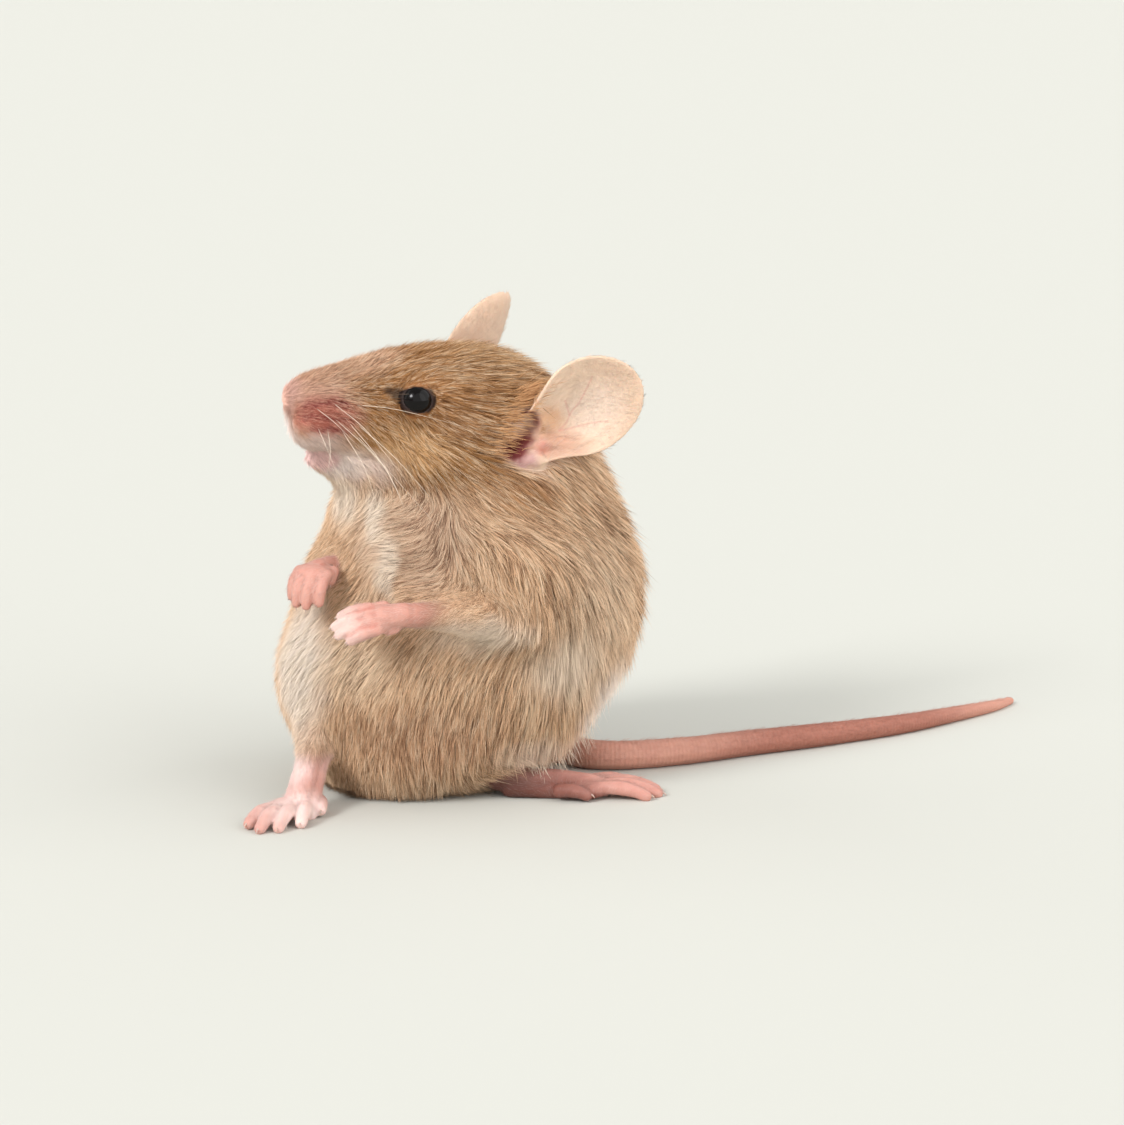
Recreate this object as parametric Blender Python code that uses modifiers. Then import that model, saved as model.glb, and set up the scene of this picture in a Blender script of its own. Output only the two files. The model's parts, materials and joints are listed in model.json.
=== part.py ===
"""A house mouse sitting up on its haunches, life size, as a still display model.

The hips face the front, the chest is turned to the mouse's right and the head further still, with both
forepaws held before the chest.  +Z is up, -Y is the front and the head looks along -X.  Soft masses are
closed primitives that a voxel Remesh joins and smooths into one body, which region solids then part into
the named pieces with thin cuts between them.  Every piece includes the coat, out to the tips of its hairs.
Places below are in millimetres and angles in degrees.
"""

import math

import bmesh
import bpy
from mathutils import Matrix, Vector

MM = 0.001
GAP = 0.3  # thin cut left between neighbouring pieces
FAR = 80  # beyond the whole model, for cutters

# Remesh cells, from the broad blend to the digits, and how many triangles the pieces are thinned to.
BROAD_CELL = 0.6
FINE_CELL = 0.42
DIGIT_CELL = 0.2
REGION_CELL = 0.8
BODY_TRIANGLES = 3000
CUTTER_TRIANGLES = 3600
REGION_TRIANGLES = 170
FOOT_TRIANGLES = 430
PAW_TRIANGLES = 380

# ------------------------------------------------------------------------------------------ driving sizes
FOOT_LENGTH = 17.4  # heel to the tip of the longest hind digit
BALL_REACH = FOOT_LENGTH * 0.62  # heel to ball
FINGER_LENGTH = 3.3  # the longest front digit
EAR_WIDTH = 9.7
EAR_SHEET = 0.6
EYE_RADIUS = 1.56
TOE_RADIUS = 0.68
FINGER_RADIUS = 0.64

# Places on the posed mouse.
NOSE_TIP = Vector((-17.1, 1.9, 39.3))
HEAD_YAW, HEAD_PITCH, HEAD_ROLL = 192.0, 8.7, -8.0
EYE_PLACE = Vector((-12.35, 4.62, 2.75))  # in the head's own frame, for the left eye
LEFT_SHOULDER = Vector((6.2, 1.4, 25.4))
LEFT_ELBOW = Vector((7.4, -3.2, 19.4))
LEFT_WRIST = Vector((-5.5, -9.0, 20.5))
RIGHT_SHOULDER = Vector((-8.4, 6.6, 27.0))
RIGHT_ELBOW = Vector((-10.0, 3.6, 20.8))
RIGHT_WRIST = Vector((-12.7, 0.4, 23.1))
LEFT_HEEL = Vector((2.2, 2.7, 0.0))
RIGHT_HEEL = Vector((-13.0, 3.4, 8.2))
RIGHT_BALL = Vector((-15.1, -4.9, 0.0))

# Two parallel cuts part the neck from the trunk and the head: their heights at X 0 and their tilt up to +X.
NECK_LOW, NECK_TOP, NECK_TILT = 27.2, 31.6, 7.0

# The trunk's level rings: height, centre in X and Y, half width in X, half depth in Y.
TRUNK_RINGS = (
    (-3.0, -5.8, 9.6, 6.6, 8.0),
    (0.0, -5.6, 9.7, 8.8, 10.2),
    (2.2, -4.0, 9.9, 11.5, 11.6),
    (5.5, -2.0, 10.0, 14.7, 13.4),
    (11.0, -0.55, 10.0, 17.25, 14.8),
    (17.0, 0.6, 9.7, 17.7, 15.0),
    (22.5, 1.4, 9.4, 16.8, 14.2),
    (27.5, 1.9, 9.0, 14.3, 12.4),
    (32.0, 2.7, 8.2, 11.8, 10.6),
    (36.0, 3.8, 7.6, 8.6, 8.4),
)

# The head's upright rings: distance behind the nose tip, half width, top and bottom about the head's axis.
HEAD_RINGS = (
    (-0.2, 0.9, 1.2, -0.9),
    (0.7, 1.7, 2.3, -1.8),
    (2.0, 2.4, 3.2, -3.0),
    (3.6, 2.9, 3.9, -4.1),
    (6.0, 3.7, 4.9, -5.3),
    (9.0, 4.6, 6.1, -6.3),
    (12.5, 5.5, 7.4, -7.2),
    (16.0, 6.6, 8.1, -8.1),
    (20.0, 7.5, 8.3, -8.8),
    (24.0, 7.8, 7.2, -9.2),
    (27.5, 6.4, 4.9, -8.0),
    (30.5, 3.6, 1.6, -4.0),
)


# ---------------------------------------------------------------------------------------------- materials
def material(name, colour, roughness):
    """A Principled BSDF of that colour and roughness."""
    made = bpy.data.materials.new(name)
    made.use_nodes = True
    shader = made.node_tree.nodes["Principled BSDF"]
    shader.inputs["Base Color"].default_value = (*colour, 1.0)
    shader.inputs["Roughness"].default_value = roughness
    shader.inputs["Metallic"].default_value = 0.0
    return made


# ------------------------------------------------------------------------------------------ mesh building
def mesh_object(name, mesh, matrix=None):
    """A new object in the scene for the mesh, carried by the matrix, whose places are in mm."""
    if matrix is not None:
        mesh.transform(matrix)
    made = bpy.data.objects.new(name, mesh)
    bpy.context.scene.collection.objects.link(made)
    return made


def from_bmesh(name, shape, matrix=None):
    bmesh.ops.recalc_face_normals(shape, faces=shape.faces)
    mesh = bpy.data.meshes.new(name)
    shape.to_mesh(mesh)
    shape.free()
    return mesh_object(name, mesh, matrix)


def ellipsoid(centre, radii, turn=(0, 0, 0), frame=None, segments=24):
    """A ball stretched to radii about centre, turned about X, then Y, then Z."""
    shape = bmesh.new()
    bmesh.ops.create_uvsphere(shape, u_segments=segments, v_segments=segments // 2, radius=1.0)
    spin = Matrix()
    for axis, angle in zip("XYZ", turn):
        spin = Matrix.Rotation(math.radians(angle), 4, axis) @ spin
    place = Matrix.Translation(centre) @ spin @ Matrix.Diagonal((*radii, 1.0))
    return from_bmesh("ellipsoid", shape, (frame or Matrix()) @ place)


def loft(rings, frame=None):
    """A closed skin over rings of equally many points, ended by a point in the middle of the outer ones."""
    shape = bmesh.new()
    rows = [[shape.verts.new(point) for point in ring] for ring in rings]
    for low, high in zip(rows, rows[1:]):
        for i, (a, b) in enumerate(zip(low, high)):
            shape.faces.new((a, low[i - 1], high[i - 1], b))
    for row in (rows[0], rows[-1]):
        middle = shape.verts.new(sum((v.co for v in row), Vector()) / len(row))
        for i, point in enumerate(row):
            shape.faces.new((row[i - 1], point, middle))
    return from_bmesh("loft", shape, frame)


def smooth_path(points, per_span=4):
    """Vectors along the Catmull-Rom curve through the given ones."""
    ends = [points[0] * 2 - points[1], *points, points[-1] * 2 - points[-2]]
    path = []
    for a, b, c, d in zip(ends, ends[1:], ends[2:], ends[3:]):
        for step in range(per_span):
            t = step / per_span
            cubic = (3 * b - a - 3 * c + d) * t**3
            path.append((2 * b + (c - a) * t + (2 * a - 5 * b + 4 * c - d) * t * t + cubic) / 2)
    return [*path, points[-1].copy()]


def bevelled(path, frame=None, resolution=3):
    """A closed tube along path, vectors of a place and a radius, as a bevelled curve made into a mesh."""
    curve = bpy.data.curves.new("tube", "CURVE")
    curve.dimensions = "3D"
    curve.bevel_depth = 1.0
    curve.bevel_resolution = resolution
    curve.use_fill_caps = True
    spline = curve.splines.new("POLY")
    spline.points.add(len(path) - 1)
    for point, place in zip(spline.points, path):
        point.co = (*place.to_3d(), 1.0)
        point.radius = place.w
    guide = bpy.data.objects.new("tube", curve)
    bpy.context.scene.collection.objects.link(guide)
    bpy.context.view_layer.update()
    mesh = bpy.data.meshes.new_from_object(guide.evaluated_get(bpy.context.evaluated_depsgraph_get()))
    bpy.data.objects.remove(guide)
    shape = bmesh.new()
    shape.from_mesh(mesh)
    bmesh.ops.remove_doubles(shape, verts=shape.verts, dist=0.0001)
    return from_bmesh("tube", shape, frame)


def rounded_end(path, at, towards):
    """Two last short steps that round off one end of a tube."""
    out = (path[at].to_3d() - path[towards].to_3d()).normalized()
    end = path[at]
    steps = ((0.5, 0.84), (0.85, 0.45))
    return [Vector((*(end.to_3d() + out * end.w * along), end.w * share)) for along, share in steps]


def tube(points, radii, frame=None, grow=0.0):
    """A smooth tube of changing radius through points, round at both ends."""
    path = smooth_path([Vector((*point, radius + grow)) for point, radius in zip(points, radii)])
    return bevelled([*reversed(rounded_end(path, 0, 1)), *path, *rounded_end(path, -1, -2)], frame)


def block(low, high):
    """A box between two corners."""
    low, high = Vector(low), Vector(high)
    shape = bmesh.new()
    bmesh.ops.create_cube(shape, size=1.0)
    place = Matrix.Translation((low + high) / 2) @ Matrix.Diagonal((*(high - low), 1.0))
    return from_bmesh("block", shape, place)


def modify(made, kind, **settings):
    modifier = made.modifiers.new(kind.title(), kind)
    for name, value in settings.items():
        setattr(modifier, name, value)


def applied(made):
    """The object again, with its modifiers applied."""
    bpy.context.view_layer.update()
    mesh = bpy.data.meshes.new_from_object(made.evaluated_get(bpy.context.evaluated_depsgraph_get()))
    result = mesh_object(made.name, mesh)
    bpy.data.objects.remove(made)
    return result


def copy_of(made):
    return mesh_object(made.name, made.data.copy())


def fused(masses, voxel, smoothing):
    """The masses as one closed surface, remeshed at the voxel's size and smoothed."""
    shape = bmesh.new()
    for mass in masses:
        shape.from_mesh(mass.data)
        bpy.data.objects.remove(mass)
    made = from_bmesh("fused", shape)
    modify(made, "REMESH", mode="VOXEL", voxel_size=voxel, adaptivity=0.0)
    modify(made, "SMOOTH", factor=0.5, iterations=smoothing)
    return applied(made)


def thinned(made, triangles):
    """The same surface in about that many triangles, finest where it bends most."""
    modify(made, "TRIANGULATE")
    made = applied(made)
    modify(made, "DECIMATE", ratio=triangles / len(made.data.polygons))
    return applied(made)


def grown(made, by, voxel, triangles):
    """A copy of the surface moved outwards, as a cutter."""
    result = copy_of(made)
    modify(result, "DISPLACE", strength=by, mid_level=0.0)
    modify(result, "REMESH", mode="VOXEL", voxel_size=voxel, adaptivity=0.0)
    return thinned(applied(result), triangles)


def cut(made, operation, *others):
    """The object after exact Booleans with the others, which stay."""
    for other in others:
        modify(made, "BOOLEAN", operation=operation, object=other, solver="EXACT")
    return applied(made)


# ------------------------------------------------------------------------------------------------- frames
def head_frame():
    """Head to model: +X out of the nose, +Y the mouse's left, +Z the crown, origin at the nose tip."""
    yaw, pitch, roll = (math.radians(angle) for angle in (HEAD_YAW, HEAD_PITCH, HEAD_ROLL))
    spin = Matrix.Rotation(yaw, 4, "Z") @ Matrix.Rotation(-pitch, 4, "Y") @ Matrix.Rotation(roll, 4, "X")
    return Matrix.Translation(NOSE_TIP) @ spin


def limb_frame(origin, along, up):
    """Limb to model: +X along the limb and +Z near up."""
    x = Vector(along).normalized()
    y = Vector(up).cross(x).normalized()
    return Matrix.Translation(origin) @ Matrix((x, y, x.cross(y))).transposed().to_4x4()


def mirrored(place, side):
    """A place given for the left side, on the side wanted: +1 left, -1 right."""
    return Vector((place[0], place[1] * side, place[2]))


# --------------------------------------------------------------------------------------------- soft masses
def level_ring(height, x, y, half_x, half_y, count=36):
    angles = [2 * math.pi * i / count for i in range(count)]
    return [Vector((x + half_x * math.cos(a), y + half_y * math.sin(a), height)) for a in angles]


def head_ring(back, width, top, bottom, count=28):
    """An upright ring, rather narrower at the crown and the jaw than an ellipse."""
    middle, half = (top + bottom) / 2, (top - bottom) / 2
    ring = []
    for i in range(count):
        angle = 2 * math.pi * i / count
        lift = math.sin(angle)
        share = 1 - 0.16 * max(lift, 0) - 0.10 * max(-lift, 0)
        ring.append(Vector((-back, math.cos(angle) * width * share, middle + half * lift)))
    return ring


def broad_masses(frame):
    """The trunk, the limbs' thick parts, the neck and the skull, to be blended softly."""
    masses = [
        loft([level_ring(*ring) for ring in TRUNK_RINGS]),
        loft([head_ring(*ring) for ring in HEAD_RINGS], frame),
        ellipsoid((-3.6, 3.6, 14.0), (12.0, 9.2, 11.0)),  # belly
        ellipsoid((-3.4, 4.8, 24.8), (9.0, 9.0, 8.6)),  # breast
        ellipsoid((-10.8, 6.0, 11.4), (7.6, 8.8, 9.2), (0, 0, 20)),  # right thigh
        ellipsoid((5.8, 5.8, 11.4), (8.6, 8.6, 9.0), (0, 0, -25)),  # left thigh
        ellipsoid((5.6, 1.2, 22.0), (7.6, 7.0, 7.8), (10, 0, -20)),  # left shoulder
        ellipsoid((-8.0, 6.6, 26.4), (5.4, 6.2, 6.2)),  # right shoulder
        ellipsoid((4.4, 8.4, 33.5), (8.6, 8.6, 6.0), (0, 12, 0)),  # nape
        ellipsoid((-4.6, 5.0, 31.0), (7.4, 5.4, 5.0), (0, 8, 10)),  # throat
    ]
    for side in (1, -1):
        masses += [
            ellipsoid(mirrored((-17.6, 4.2, -3.6), side), (6.6, 3.9, 4.8), frame=frame),  # cheek
            ellipsoid(mirrored((-12.8, 3.3, 2.9), side), (5.0, 2.6, 3.2), frame=frame),  # brow
            ellipsoid(mirrored((-23.0, 4.2, 2.0), side), (3.4, 2.9, 4.2), frame=frame),  # ear's root
        ]
    return masses


def fine_masses(frame):
    """The nose, lips and furred lower limbs, to be blended lightly."""
    left_mid, left_end = (LEFT_ELBOW.lerp(LEFT_WRIST, share) for share in (0.45, 0.85))
    right_mid, right_end = (RIGHT_ELBOW.lerp(RIGHT_WRIST, share) for share in (0.5, 0.85))
    hock = RIGHT_HEEL + Vector((-0.4, -1.8, 0.4))
    shin = (Vector((-10.6, 4.6, 11.0)), hock, RIGHT_HEEL.lerp(RIGHT_BALL, 0.5))
    masses = [
        ellipsoid((-3.6, 0, 0.35), (3.5, 2.2, 2.95), (0, 14, 0), frame),  # muzzle's bridge
        ellipsoid((-0.75, 0, 0.4), (0.95, 1.3, 1.35), frame=frame),  # nose pad
        ellipsoid((-5.75, 0, -5.35), (2.9, 1.6, 1.3), (0, 8, 0), frame),  # chin and lower lip
        ellipsoid((-10.5, 0, -6.0), (5.4, 3.0, 1.9), (0, 8, 0), frame),  # jaw
        tube((LEFT_SHOULDER, LEFT_ELBOW, left_mid, left_end), (4.6, 3.2, 2.1, 1.35)),
        tube((RIGHT_SHOULDER, RIGHT_ELBOW, right_mid, right_end), (4.4, 3.3, 2.2, 1.35)),
        tube(shin, (5.6, 3.3, 1.6)),
    ]
    for side in (1, -1):
        pad = mirrored((-4.1, 1.6, -1.8), side)
        masses.append(ellipsoid(pad, (3.4, 1.9, 2.6), (0, 10, 12 * side), frame))
    return masses


# --------------------------------------------------------------------------------------------- ears, paws
def ear(root, tip, facing, wraps, bow, frame, rows=9, columns=7, widest=0.56):
    """A pinna: a rounded sheet rolled into a funnel at its root and hollow towards facing.

    wraps are half the arcs that the sheet's section spans at the root and at the tip, and bow is how far
    the sheet leans back between them.
    """
    root, tip = Vector(root), Vector(tip)
    along = (tip - root).normalized()
    normal = (Vector(facing) - along * along.dot(facing)).normalized()
    across = normal.cross(along)
    shape = bmesh.new()
    grid = []
    for i in range(rows + 1):
        s = 1 - (1 - i / rows) ** 1.35  # rows crowd towards the rounded tip
        rise = min(s / widest, 1.0)
        half = EAR_WIDTH / 2 * (0.46 + 0.54 * rise * rise * (3 - 2 * rise))
        if s > widest:
            half = max(EAR_WIDTH / 2 * math.sqrt(1 - ((s - widest) / (1 - widest)) ** 2), 0.5)
        wrap = math.radians(wraps[1] + (wraps[0] - wraps[1]) * (1 - s) ** 1.7)
        radius = half / math.sin(min(wrap, math.pi / 2))
        row = []
        for j in range(columns + 1):
            angle = wrap * (2 * j / columns - 1)
            rise = radius * (1 - math.cos(angle)) - radius * (1 - math.cos(wrap)) * 0.35
            lift = normal * (rise - bow * math.sin(math.pi * s))
            row.append(shape.verts.new(root.lerp(tip, s) + across * (radius * math.sin(angle)) + lift))
        grid.append(row)
    for low, high in zip(grid, grid[1:]):
        for a, b, c, d in zip(low, low[1:], high[1:], high):
            shape.faces.new((a, b, c, d))
    made = from_bmesh("pinna", shape, frame)
    modify(made, "SOLIDIFY", thickness=EAR_SHEET, offset=0.0)
    return applied(made)


def digit(base, heading, length, radius, pitches, frame):
    """A digit in the paw's own frame, turning from one downward pitch to another, and its claw."""
    turn = Matrix.Rotation(math.radians(heading), 3, "Z")
    steps = 4
    points = [Vector(base)]
    for index in range(steps):
        pitch = math.radians(pitches[0] + (pitches[1] - pitches[0]) * (index + 0.5) / steps)
        step = Vector((math.cos(pitch), 0, -math.sin(pitch))) * length / steps
        points.append(points[-1] + turn @ step)
    radii = [radius * size for size in (1.05, 1.0, 1.05, 0.98, 0.85)]
    out = (points[-1] - points[-2]).normalized()
    claw = [points[-1] + out * radius * along + Vector((0, 0, 0.1)) for along in (0.5, 1.05, 1.5)]
    return [tube(points, radii, frame), tube(claw, (radius * 0.5, radius * 0.42, 0.24), frame)]


def hind_foot(frame, toe_frame, ball, side, spread, skew):
    """A hind foot: heel at frame's origin with the sole below, and toes in toe_frame from the ball on."""
    masses = [
        tube(
            ((1.0, 0, 1.9), (0.3 * ball, 0, 1.6), (0.65 * ball, 0.1 * side, 1.4), (ball, 0, 1.15)),
            (1.25, 1.3, 1.3, 1.1),
            frame,
        ),
        ellipsoid((0, 0, 0.98), (2.2, 2.3, 0.98), frame=toe_frame),
    ]
    for edge in (1, -1):
        masses.append(tube(((2.6, 0.5 * edge, 0.95), (ball, 0.9 * edge, 0.85)), (0.95, 0.9), frame))
    # Digits from the inner, first, to the outer, fifth: start, length, sideways place and heading.
    toe = FOOT_LENGTH - ball
    for start, length, across, heading in (
        (-1.4, 0.42, -2.0, -1.8),
        (0.0, 0.80, -1.45, -0.8),
        (0.5, 0.90, -0.45, -0.1),
        (0.5, 0.88, 0.6, 0.5),
        (-0.5, 0.74, 1.6, 1.2),
    ):
        base = (start + skew * across, across * side, TOE_RADIUS + 0.35)
        masses += digit(base, heading * spread * side, length * toe, TOE_RADIUS, (-20, 32), toe_frame)
    return fused(masses, DIGIT_CELL, 3)


def forepaw(frame, side, width, spread, pitches):
    """A forepaw: wrist at the origin, +X to the fingers and the back of the paw to +Z."""
    masses = [
        tube(((-2.4, 0, 0), (0, 0, 0), (1.4, 0, 0.05)), (1.25, 1.15, 1.25), frame),
        ellipsoid((1.9, 0, -0.05), (1.7, 1.85 * width, 1.05), frame=frame),
        ellipsoid((0.7, 1.0 * side, -0.7), (1.1, 0.8, 0.75), frame=frame),
    ]
    for start, share, across, heading in (
        (0.9, 0.42, -1.5, -2.0),
        (2.3, 0.90, -1.35, -0.9),
        (2.7, 1.00, -0.45, -0.2),
        (2.6, 0.97, 0.5, 0.5),
        (2.0, 0.84, 1.35, 1.2),
    ):
        base = (start, across * side * width, 0.1)
        masses += digit(base, heading * spread * side, share * FINGER_LENGTH, FINGER_RADIUS, pitches, frame)
    return fused(masses, DIGIT_CELL, 3)


# --------------------------------------------------------------------------------------------------- tail
TAIL_PATH = (  # X, Y and radius from the rump to the tip, on the floor
    (-5.0, 15.5, 2.1),
    (-2.0, 20.2, 2.0),
    (3.6, 20.6, 1.85),
    (8.6, 16.4, 1.65),
    (14.0, 13.0, 1.5),
    (21.5, 14.7, 1.42),
    (29.3, 18.7, 1.33),
    (37.5, 22.8, 1.22),
    (45.7, 27.7, 1.05),
    (52.0, 33.0, 0.84),
    (56.8, 37.6, 0.64),
    (59.2, 41.0, 0.42),
)
TAIL_SINK = 0.08  # how far the tail is pressed flat


def tail_pieces(count=4):
    """The tail's path in that many stretches of about equal length, a gap apart."""
    path = [Vector((p.x, p.y, p.z - TAIL_SINK, p.z)) for p in smooth_path([Vector(p) for p in TAIL_PATH], 3)]
    size = len(path) / count
    pieces = []
    for index in range(count):
        piece = [p.copy() for p in path[round(index * size) : round((index + 1) * size) + 1]]
        if index == count - 1:
            piece += rounded_end(piece, -1, -2)
        else:
            back = (piece[-2] - piece[-1]).normalized()
            piece[-1] += back * GAP
        pieces.append(bevelled(piece, resolution=2))
    return pieces


# -------------------------------------------------------------------------------------------------- whole
def slab(low, high, tilt):
    """A slab across the whole model between two heights at X 0, tilted up towards +X by that angle."""
    made = block((-FAR, -FAR, low), (FAR, FAR, high))
    made.data.transform(Matrix.Rotation(math.radians(-tilt), 4, "Y"))
    return made


def limb_region(points, radii, grow):
    """A solid round a limb, one smooth closed surface."""
    return thinned(fused([tube(points, radii, grow=grow)], REGION_CELL, 3), REGION_TRIANGLES)


def thigh_region(centre, radii, turn, grow):
    """A solid round a thigh."""
    return ellipsoid(centre, [radius + grow for radius in radii], (0, 0, turn), segments=14)


def part_body(whole):
    """The body parted into head, neck, trunk and limbs, each a gap from the next."""
    left_arm = (LEFT_SHOULDER + Vector((1.4, -5, -1.6)), LEFT_ELBOW + Vector((0.6, -2.4, 0.6)), LEFT_WRIST)
    right_arm = (RIGHT_SHOULDER + Vector((-4.6, -2, -1.6)), RIGHT_ELBOW + Vector((-2.4, -2, 0)), RIGHT_WRIST)
    regions = {
        "head": (lambda grow: slab(NECK_TOP - grow, FAR, NECK_TILT)),
        "neck": (lambda grow: slab(NECK_LOW - grow, NECK_TOP, NECK_TILT)),
        "foreleg_left": (lambda grow: limb_region(left_arm, (6.2, 5.6, 2.7), grow)),
        "foreleg_right": (lambda grow: limb_region(right_arm, (5.0, 4.6, 2.8), grow)),
        "hind_leg_left": (lambda grow: thigh_region((10.0, 2.0, 8.6), (8.6, 9.4, 7.8), -25, grow)),
        "hind_leg_right": (lambda grow: thigh_region((-14.6, 1.6, 8.2), (7.0, 9.2, 7.4), 20, grow)),
    }
    pieces = {}
    for name, region in regions.items():
        inside, outside = region(0.0), region(GAP)
        pieces[name] = cut(copy_of(whole), "INTERSECT", inside)
        whole = cut(whole, "DIFFERENCE", outside)
        for solid in (inside, outside):
            bpy.data.objects.remove(solid)
    pieces["trunk"] = whole
    return pieces


def build():
    for old in list(bpy.data.objects):
        bpy.data.objects.remove(old)
    coat = material("brown_coat", (0.42, 0.29, 0.17), 0.75)
    pink = material("pink_skin", (0.80, 0.50, 0.43), 0.55)
    ear_skin = material("ear_skin", (0.86, 0.62, 0.46), 0.5)
    eye_black = material("eye_black", (0.008, 0.007, 0.007), 0.05)
    tail_skin = material("tail_skin", (0.55, 0.32, 0.26), 0.6)

    frame = head_frame()
    floor = block((-FAR, -FAR, -FAR), (FAR, FAR, 0))
    broad = fused(broad_masses(frame), BROAD_CELL, 26)
    fine = fused([broad, *fine_masses(frame)], FINE_CELL, 7)
    cutter = grown(fine, GAP, BROAD_CELL, CUTTER_TRIANGLES)
    whole = cut(thinned(fine, BODY_TRIANGLES), "DIFFERENCE", floor)

    finished = {}
    for name, side in (("left", 1), ("right", -1)):
        place = mirrored(EYE_PLACE, side)
        finished["eye_" + name] = (ellipsoid(place, (EYE_RADIUS,) * 3, frame=frame, segments=14), eye_black)
        socket = ellipsoid(place, (EYE_RADIUS + GAP,) * 3, frame=frame, segments=16)
        whole = cut(whole, "DIFFERENCE", socket)
        bpy.data.objects.remove(socket)
    for name, piece in part_body(whole).items():
        finished[name] = (piece, coat)

    ears = {
        "left": ear((-22.7, 6.45, 0.15), (-32.6, 7.2, 8.35), (0.24, 0.93, -0.3), (118, 19), 1.55, frame),
        "right": ear((-18.85, -7.3, -1.3), (-21.5, -7.4, 11.55), (0.8, -0.6, 0.04), (88, 39), -0.3, frame),
    }
    left_heel = limb_frame(LEFT_HEEL, (1, -0.02, 0), (0, 0, 1))
    left_ball = limb_frame(LEFT_HEEL + Vector((BALL_REACH, 0, 0)), (1, 0.02, 0), (0, 0, 1))
    right_heel = limb_frame(RIGHT_HEEL, RIGHT_BALL - RIGHT_HEEL, (0, -0.5, 1))
    right_ball = limb_frame(RIGHT_BALL + Vector((-0.9, -0.6, 0)), (-0.25, -1, 0), (0, 0, 1))
    reach = (RIGHT_BALL - RIGHT_HEEL).length
    feet = {
        "left": hind_foot(left_heel, left_ball, BALL_REACH, 1, 6, 0.0),
        "right": hind_foot(right_heel, right_ball, reach, -1, 11, 0.8),
    }
    paws = {
        "left": forepaw(limb_frame(LEFT_WRIST, (-1, -0.12, -0.16), (-0.3, -0.75, 0.6)), 1, 1.0, 5, (-5, 38)),
        "right": forepaw(limb_frame(RIGHT_WRIST, (-0.5, -0.85, -0.05), (0, 0, 1)), -1, 1.22, 2, (30, 88)),
    }
    for name in ("left", "right"):
        foot, paw = thinned(feet[name], FOOT_TRIANGLES), thinned(paws[name], PAW_TRIANGLES)
        finished["ear_" + name] = (cut(ears[name], "DIFFERENCE", cutter), ear_skin)
        finished["hind_foot_" + name] = (cut(foot, "DIFFERENCE", cutter, floor), pink)
        finished["forepaw_" + name] = (cut(paw, "DIFFERENCE", cutter), pink)
    for index, piece in enumerate(tail_pieces()):
        finished[f"tail_{index + 1}"] = (cut(piece, "DIFFERENCE", cutter, floor), tail_skin)
    for solid in (cutter, floor):
        bpy.data.objects.remove(solid)
    place_and_name(finished)


def place_and_name(finished):
    """Every piece in metres, with the origin at the bottom centre of them all, in the mouse's collection."""
    corners = [vertex.co for piece, _ in finished.values() for vertex in piece.data.vertices]
    low, high = (Vector([pick(c[axis] for c in corners) for axis in range(3)]) for pick in (min, max))
    foot = Vector(((low.x + high.x) / 2, (low.y + high.y) / 2, low.z))
    home = Matrix.Scale(MM, 4) @ Matrix.Translation(-foot)
    mouse = bpy.data.collections.new("house_mouse")
    bpy.context.scene.collection.children.link(mouse)
    for name, (piece, finish) in finished.items():
        piece.name = name
        piece.data.name = name
        piece.data.transform(home)
        piece.data.materials.clear()
        piece.data.materials.append(finish)
        mouse.objects.link(piece)
        bpy.context.scene.collection.objects.unlink(piece)


build()
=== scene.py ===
"""The looks of a life-size house mouse that sits up with its head turned and its forepaws raised.

One skin stands for all the flesh. It lies inside the solids by the depth of the coat, which is made of
thin tufts, each a closed spike rooted on the skin and combed along the body. Places are in the bench
frame of the model's maker, in millimetres: +Z up, -Y to the front, and the head looks along -X.
"""

import json
import math

import bmesh
import bpy
import numpy as np
from mathutils import Matrix, Vector
from mathutils.bvhtree import BVHTree
from mathutils.kdtree import KDTree

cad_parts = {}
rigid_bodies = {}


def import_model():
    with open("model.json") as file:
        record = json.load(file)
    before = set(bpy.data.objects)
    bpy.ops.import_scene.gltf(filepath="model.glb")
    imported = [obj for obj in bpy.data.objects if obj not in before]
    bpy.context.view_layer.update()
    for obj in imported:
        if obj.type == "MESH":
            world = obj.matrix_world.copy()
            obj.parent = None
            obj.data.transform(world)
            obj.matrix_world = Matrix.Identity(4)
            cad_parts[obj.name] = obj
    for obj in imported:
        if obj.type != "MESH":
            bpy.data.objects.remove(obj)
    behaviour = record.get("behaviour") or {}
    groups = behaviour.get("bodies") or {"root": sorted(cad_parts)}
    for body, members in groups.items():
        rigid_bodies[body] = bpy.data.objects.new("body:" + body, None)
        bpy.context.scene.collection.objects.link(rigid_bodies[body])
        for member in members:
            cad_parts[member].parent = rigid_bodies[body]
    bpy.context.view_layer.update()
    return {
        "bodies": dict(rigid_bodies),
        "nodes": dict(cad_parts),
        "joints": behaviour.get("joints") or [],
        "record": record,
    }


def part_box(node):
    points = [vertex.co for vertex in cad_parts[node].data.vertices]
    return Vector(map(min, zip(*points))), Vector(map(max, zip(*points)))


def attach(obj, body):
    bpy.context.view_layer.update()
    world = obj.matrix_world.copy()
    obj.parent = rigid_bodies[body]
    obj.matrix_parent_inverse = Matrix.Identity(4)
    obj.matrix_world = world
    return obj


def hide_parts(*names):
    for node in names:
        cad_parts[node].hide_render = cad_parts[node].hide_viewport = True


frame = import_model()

MM = 0.001

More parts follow.
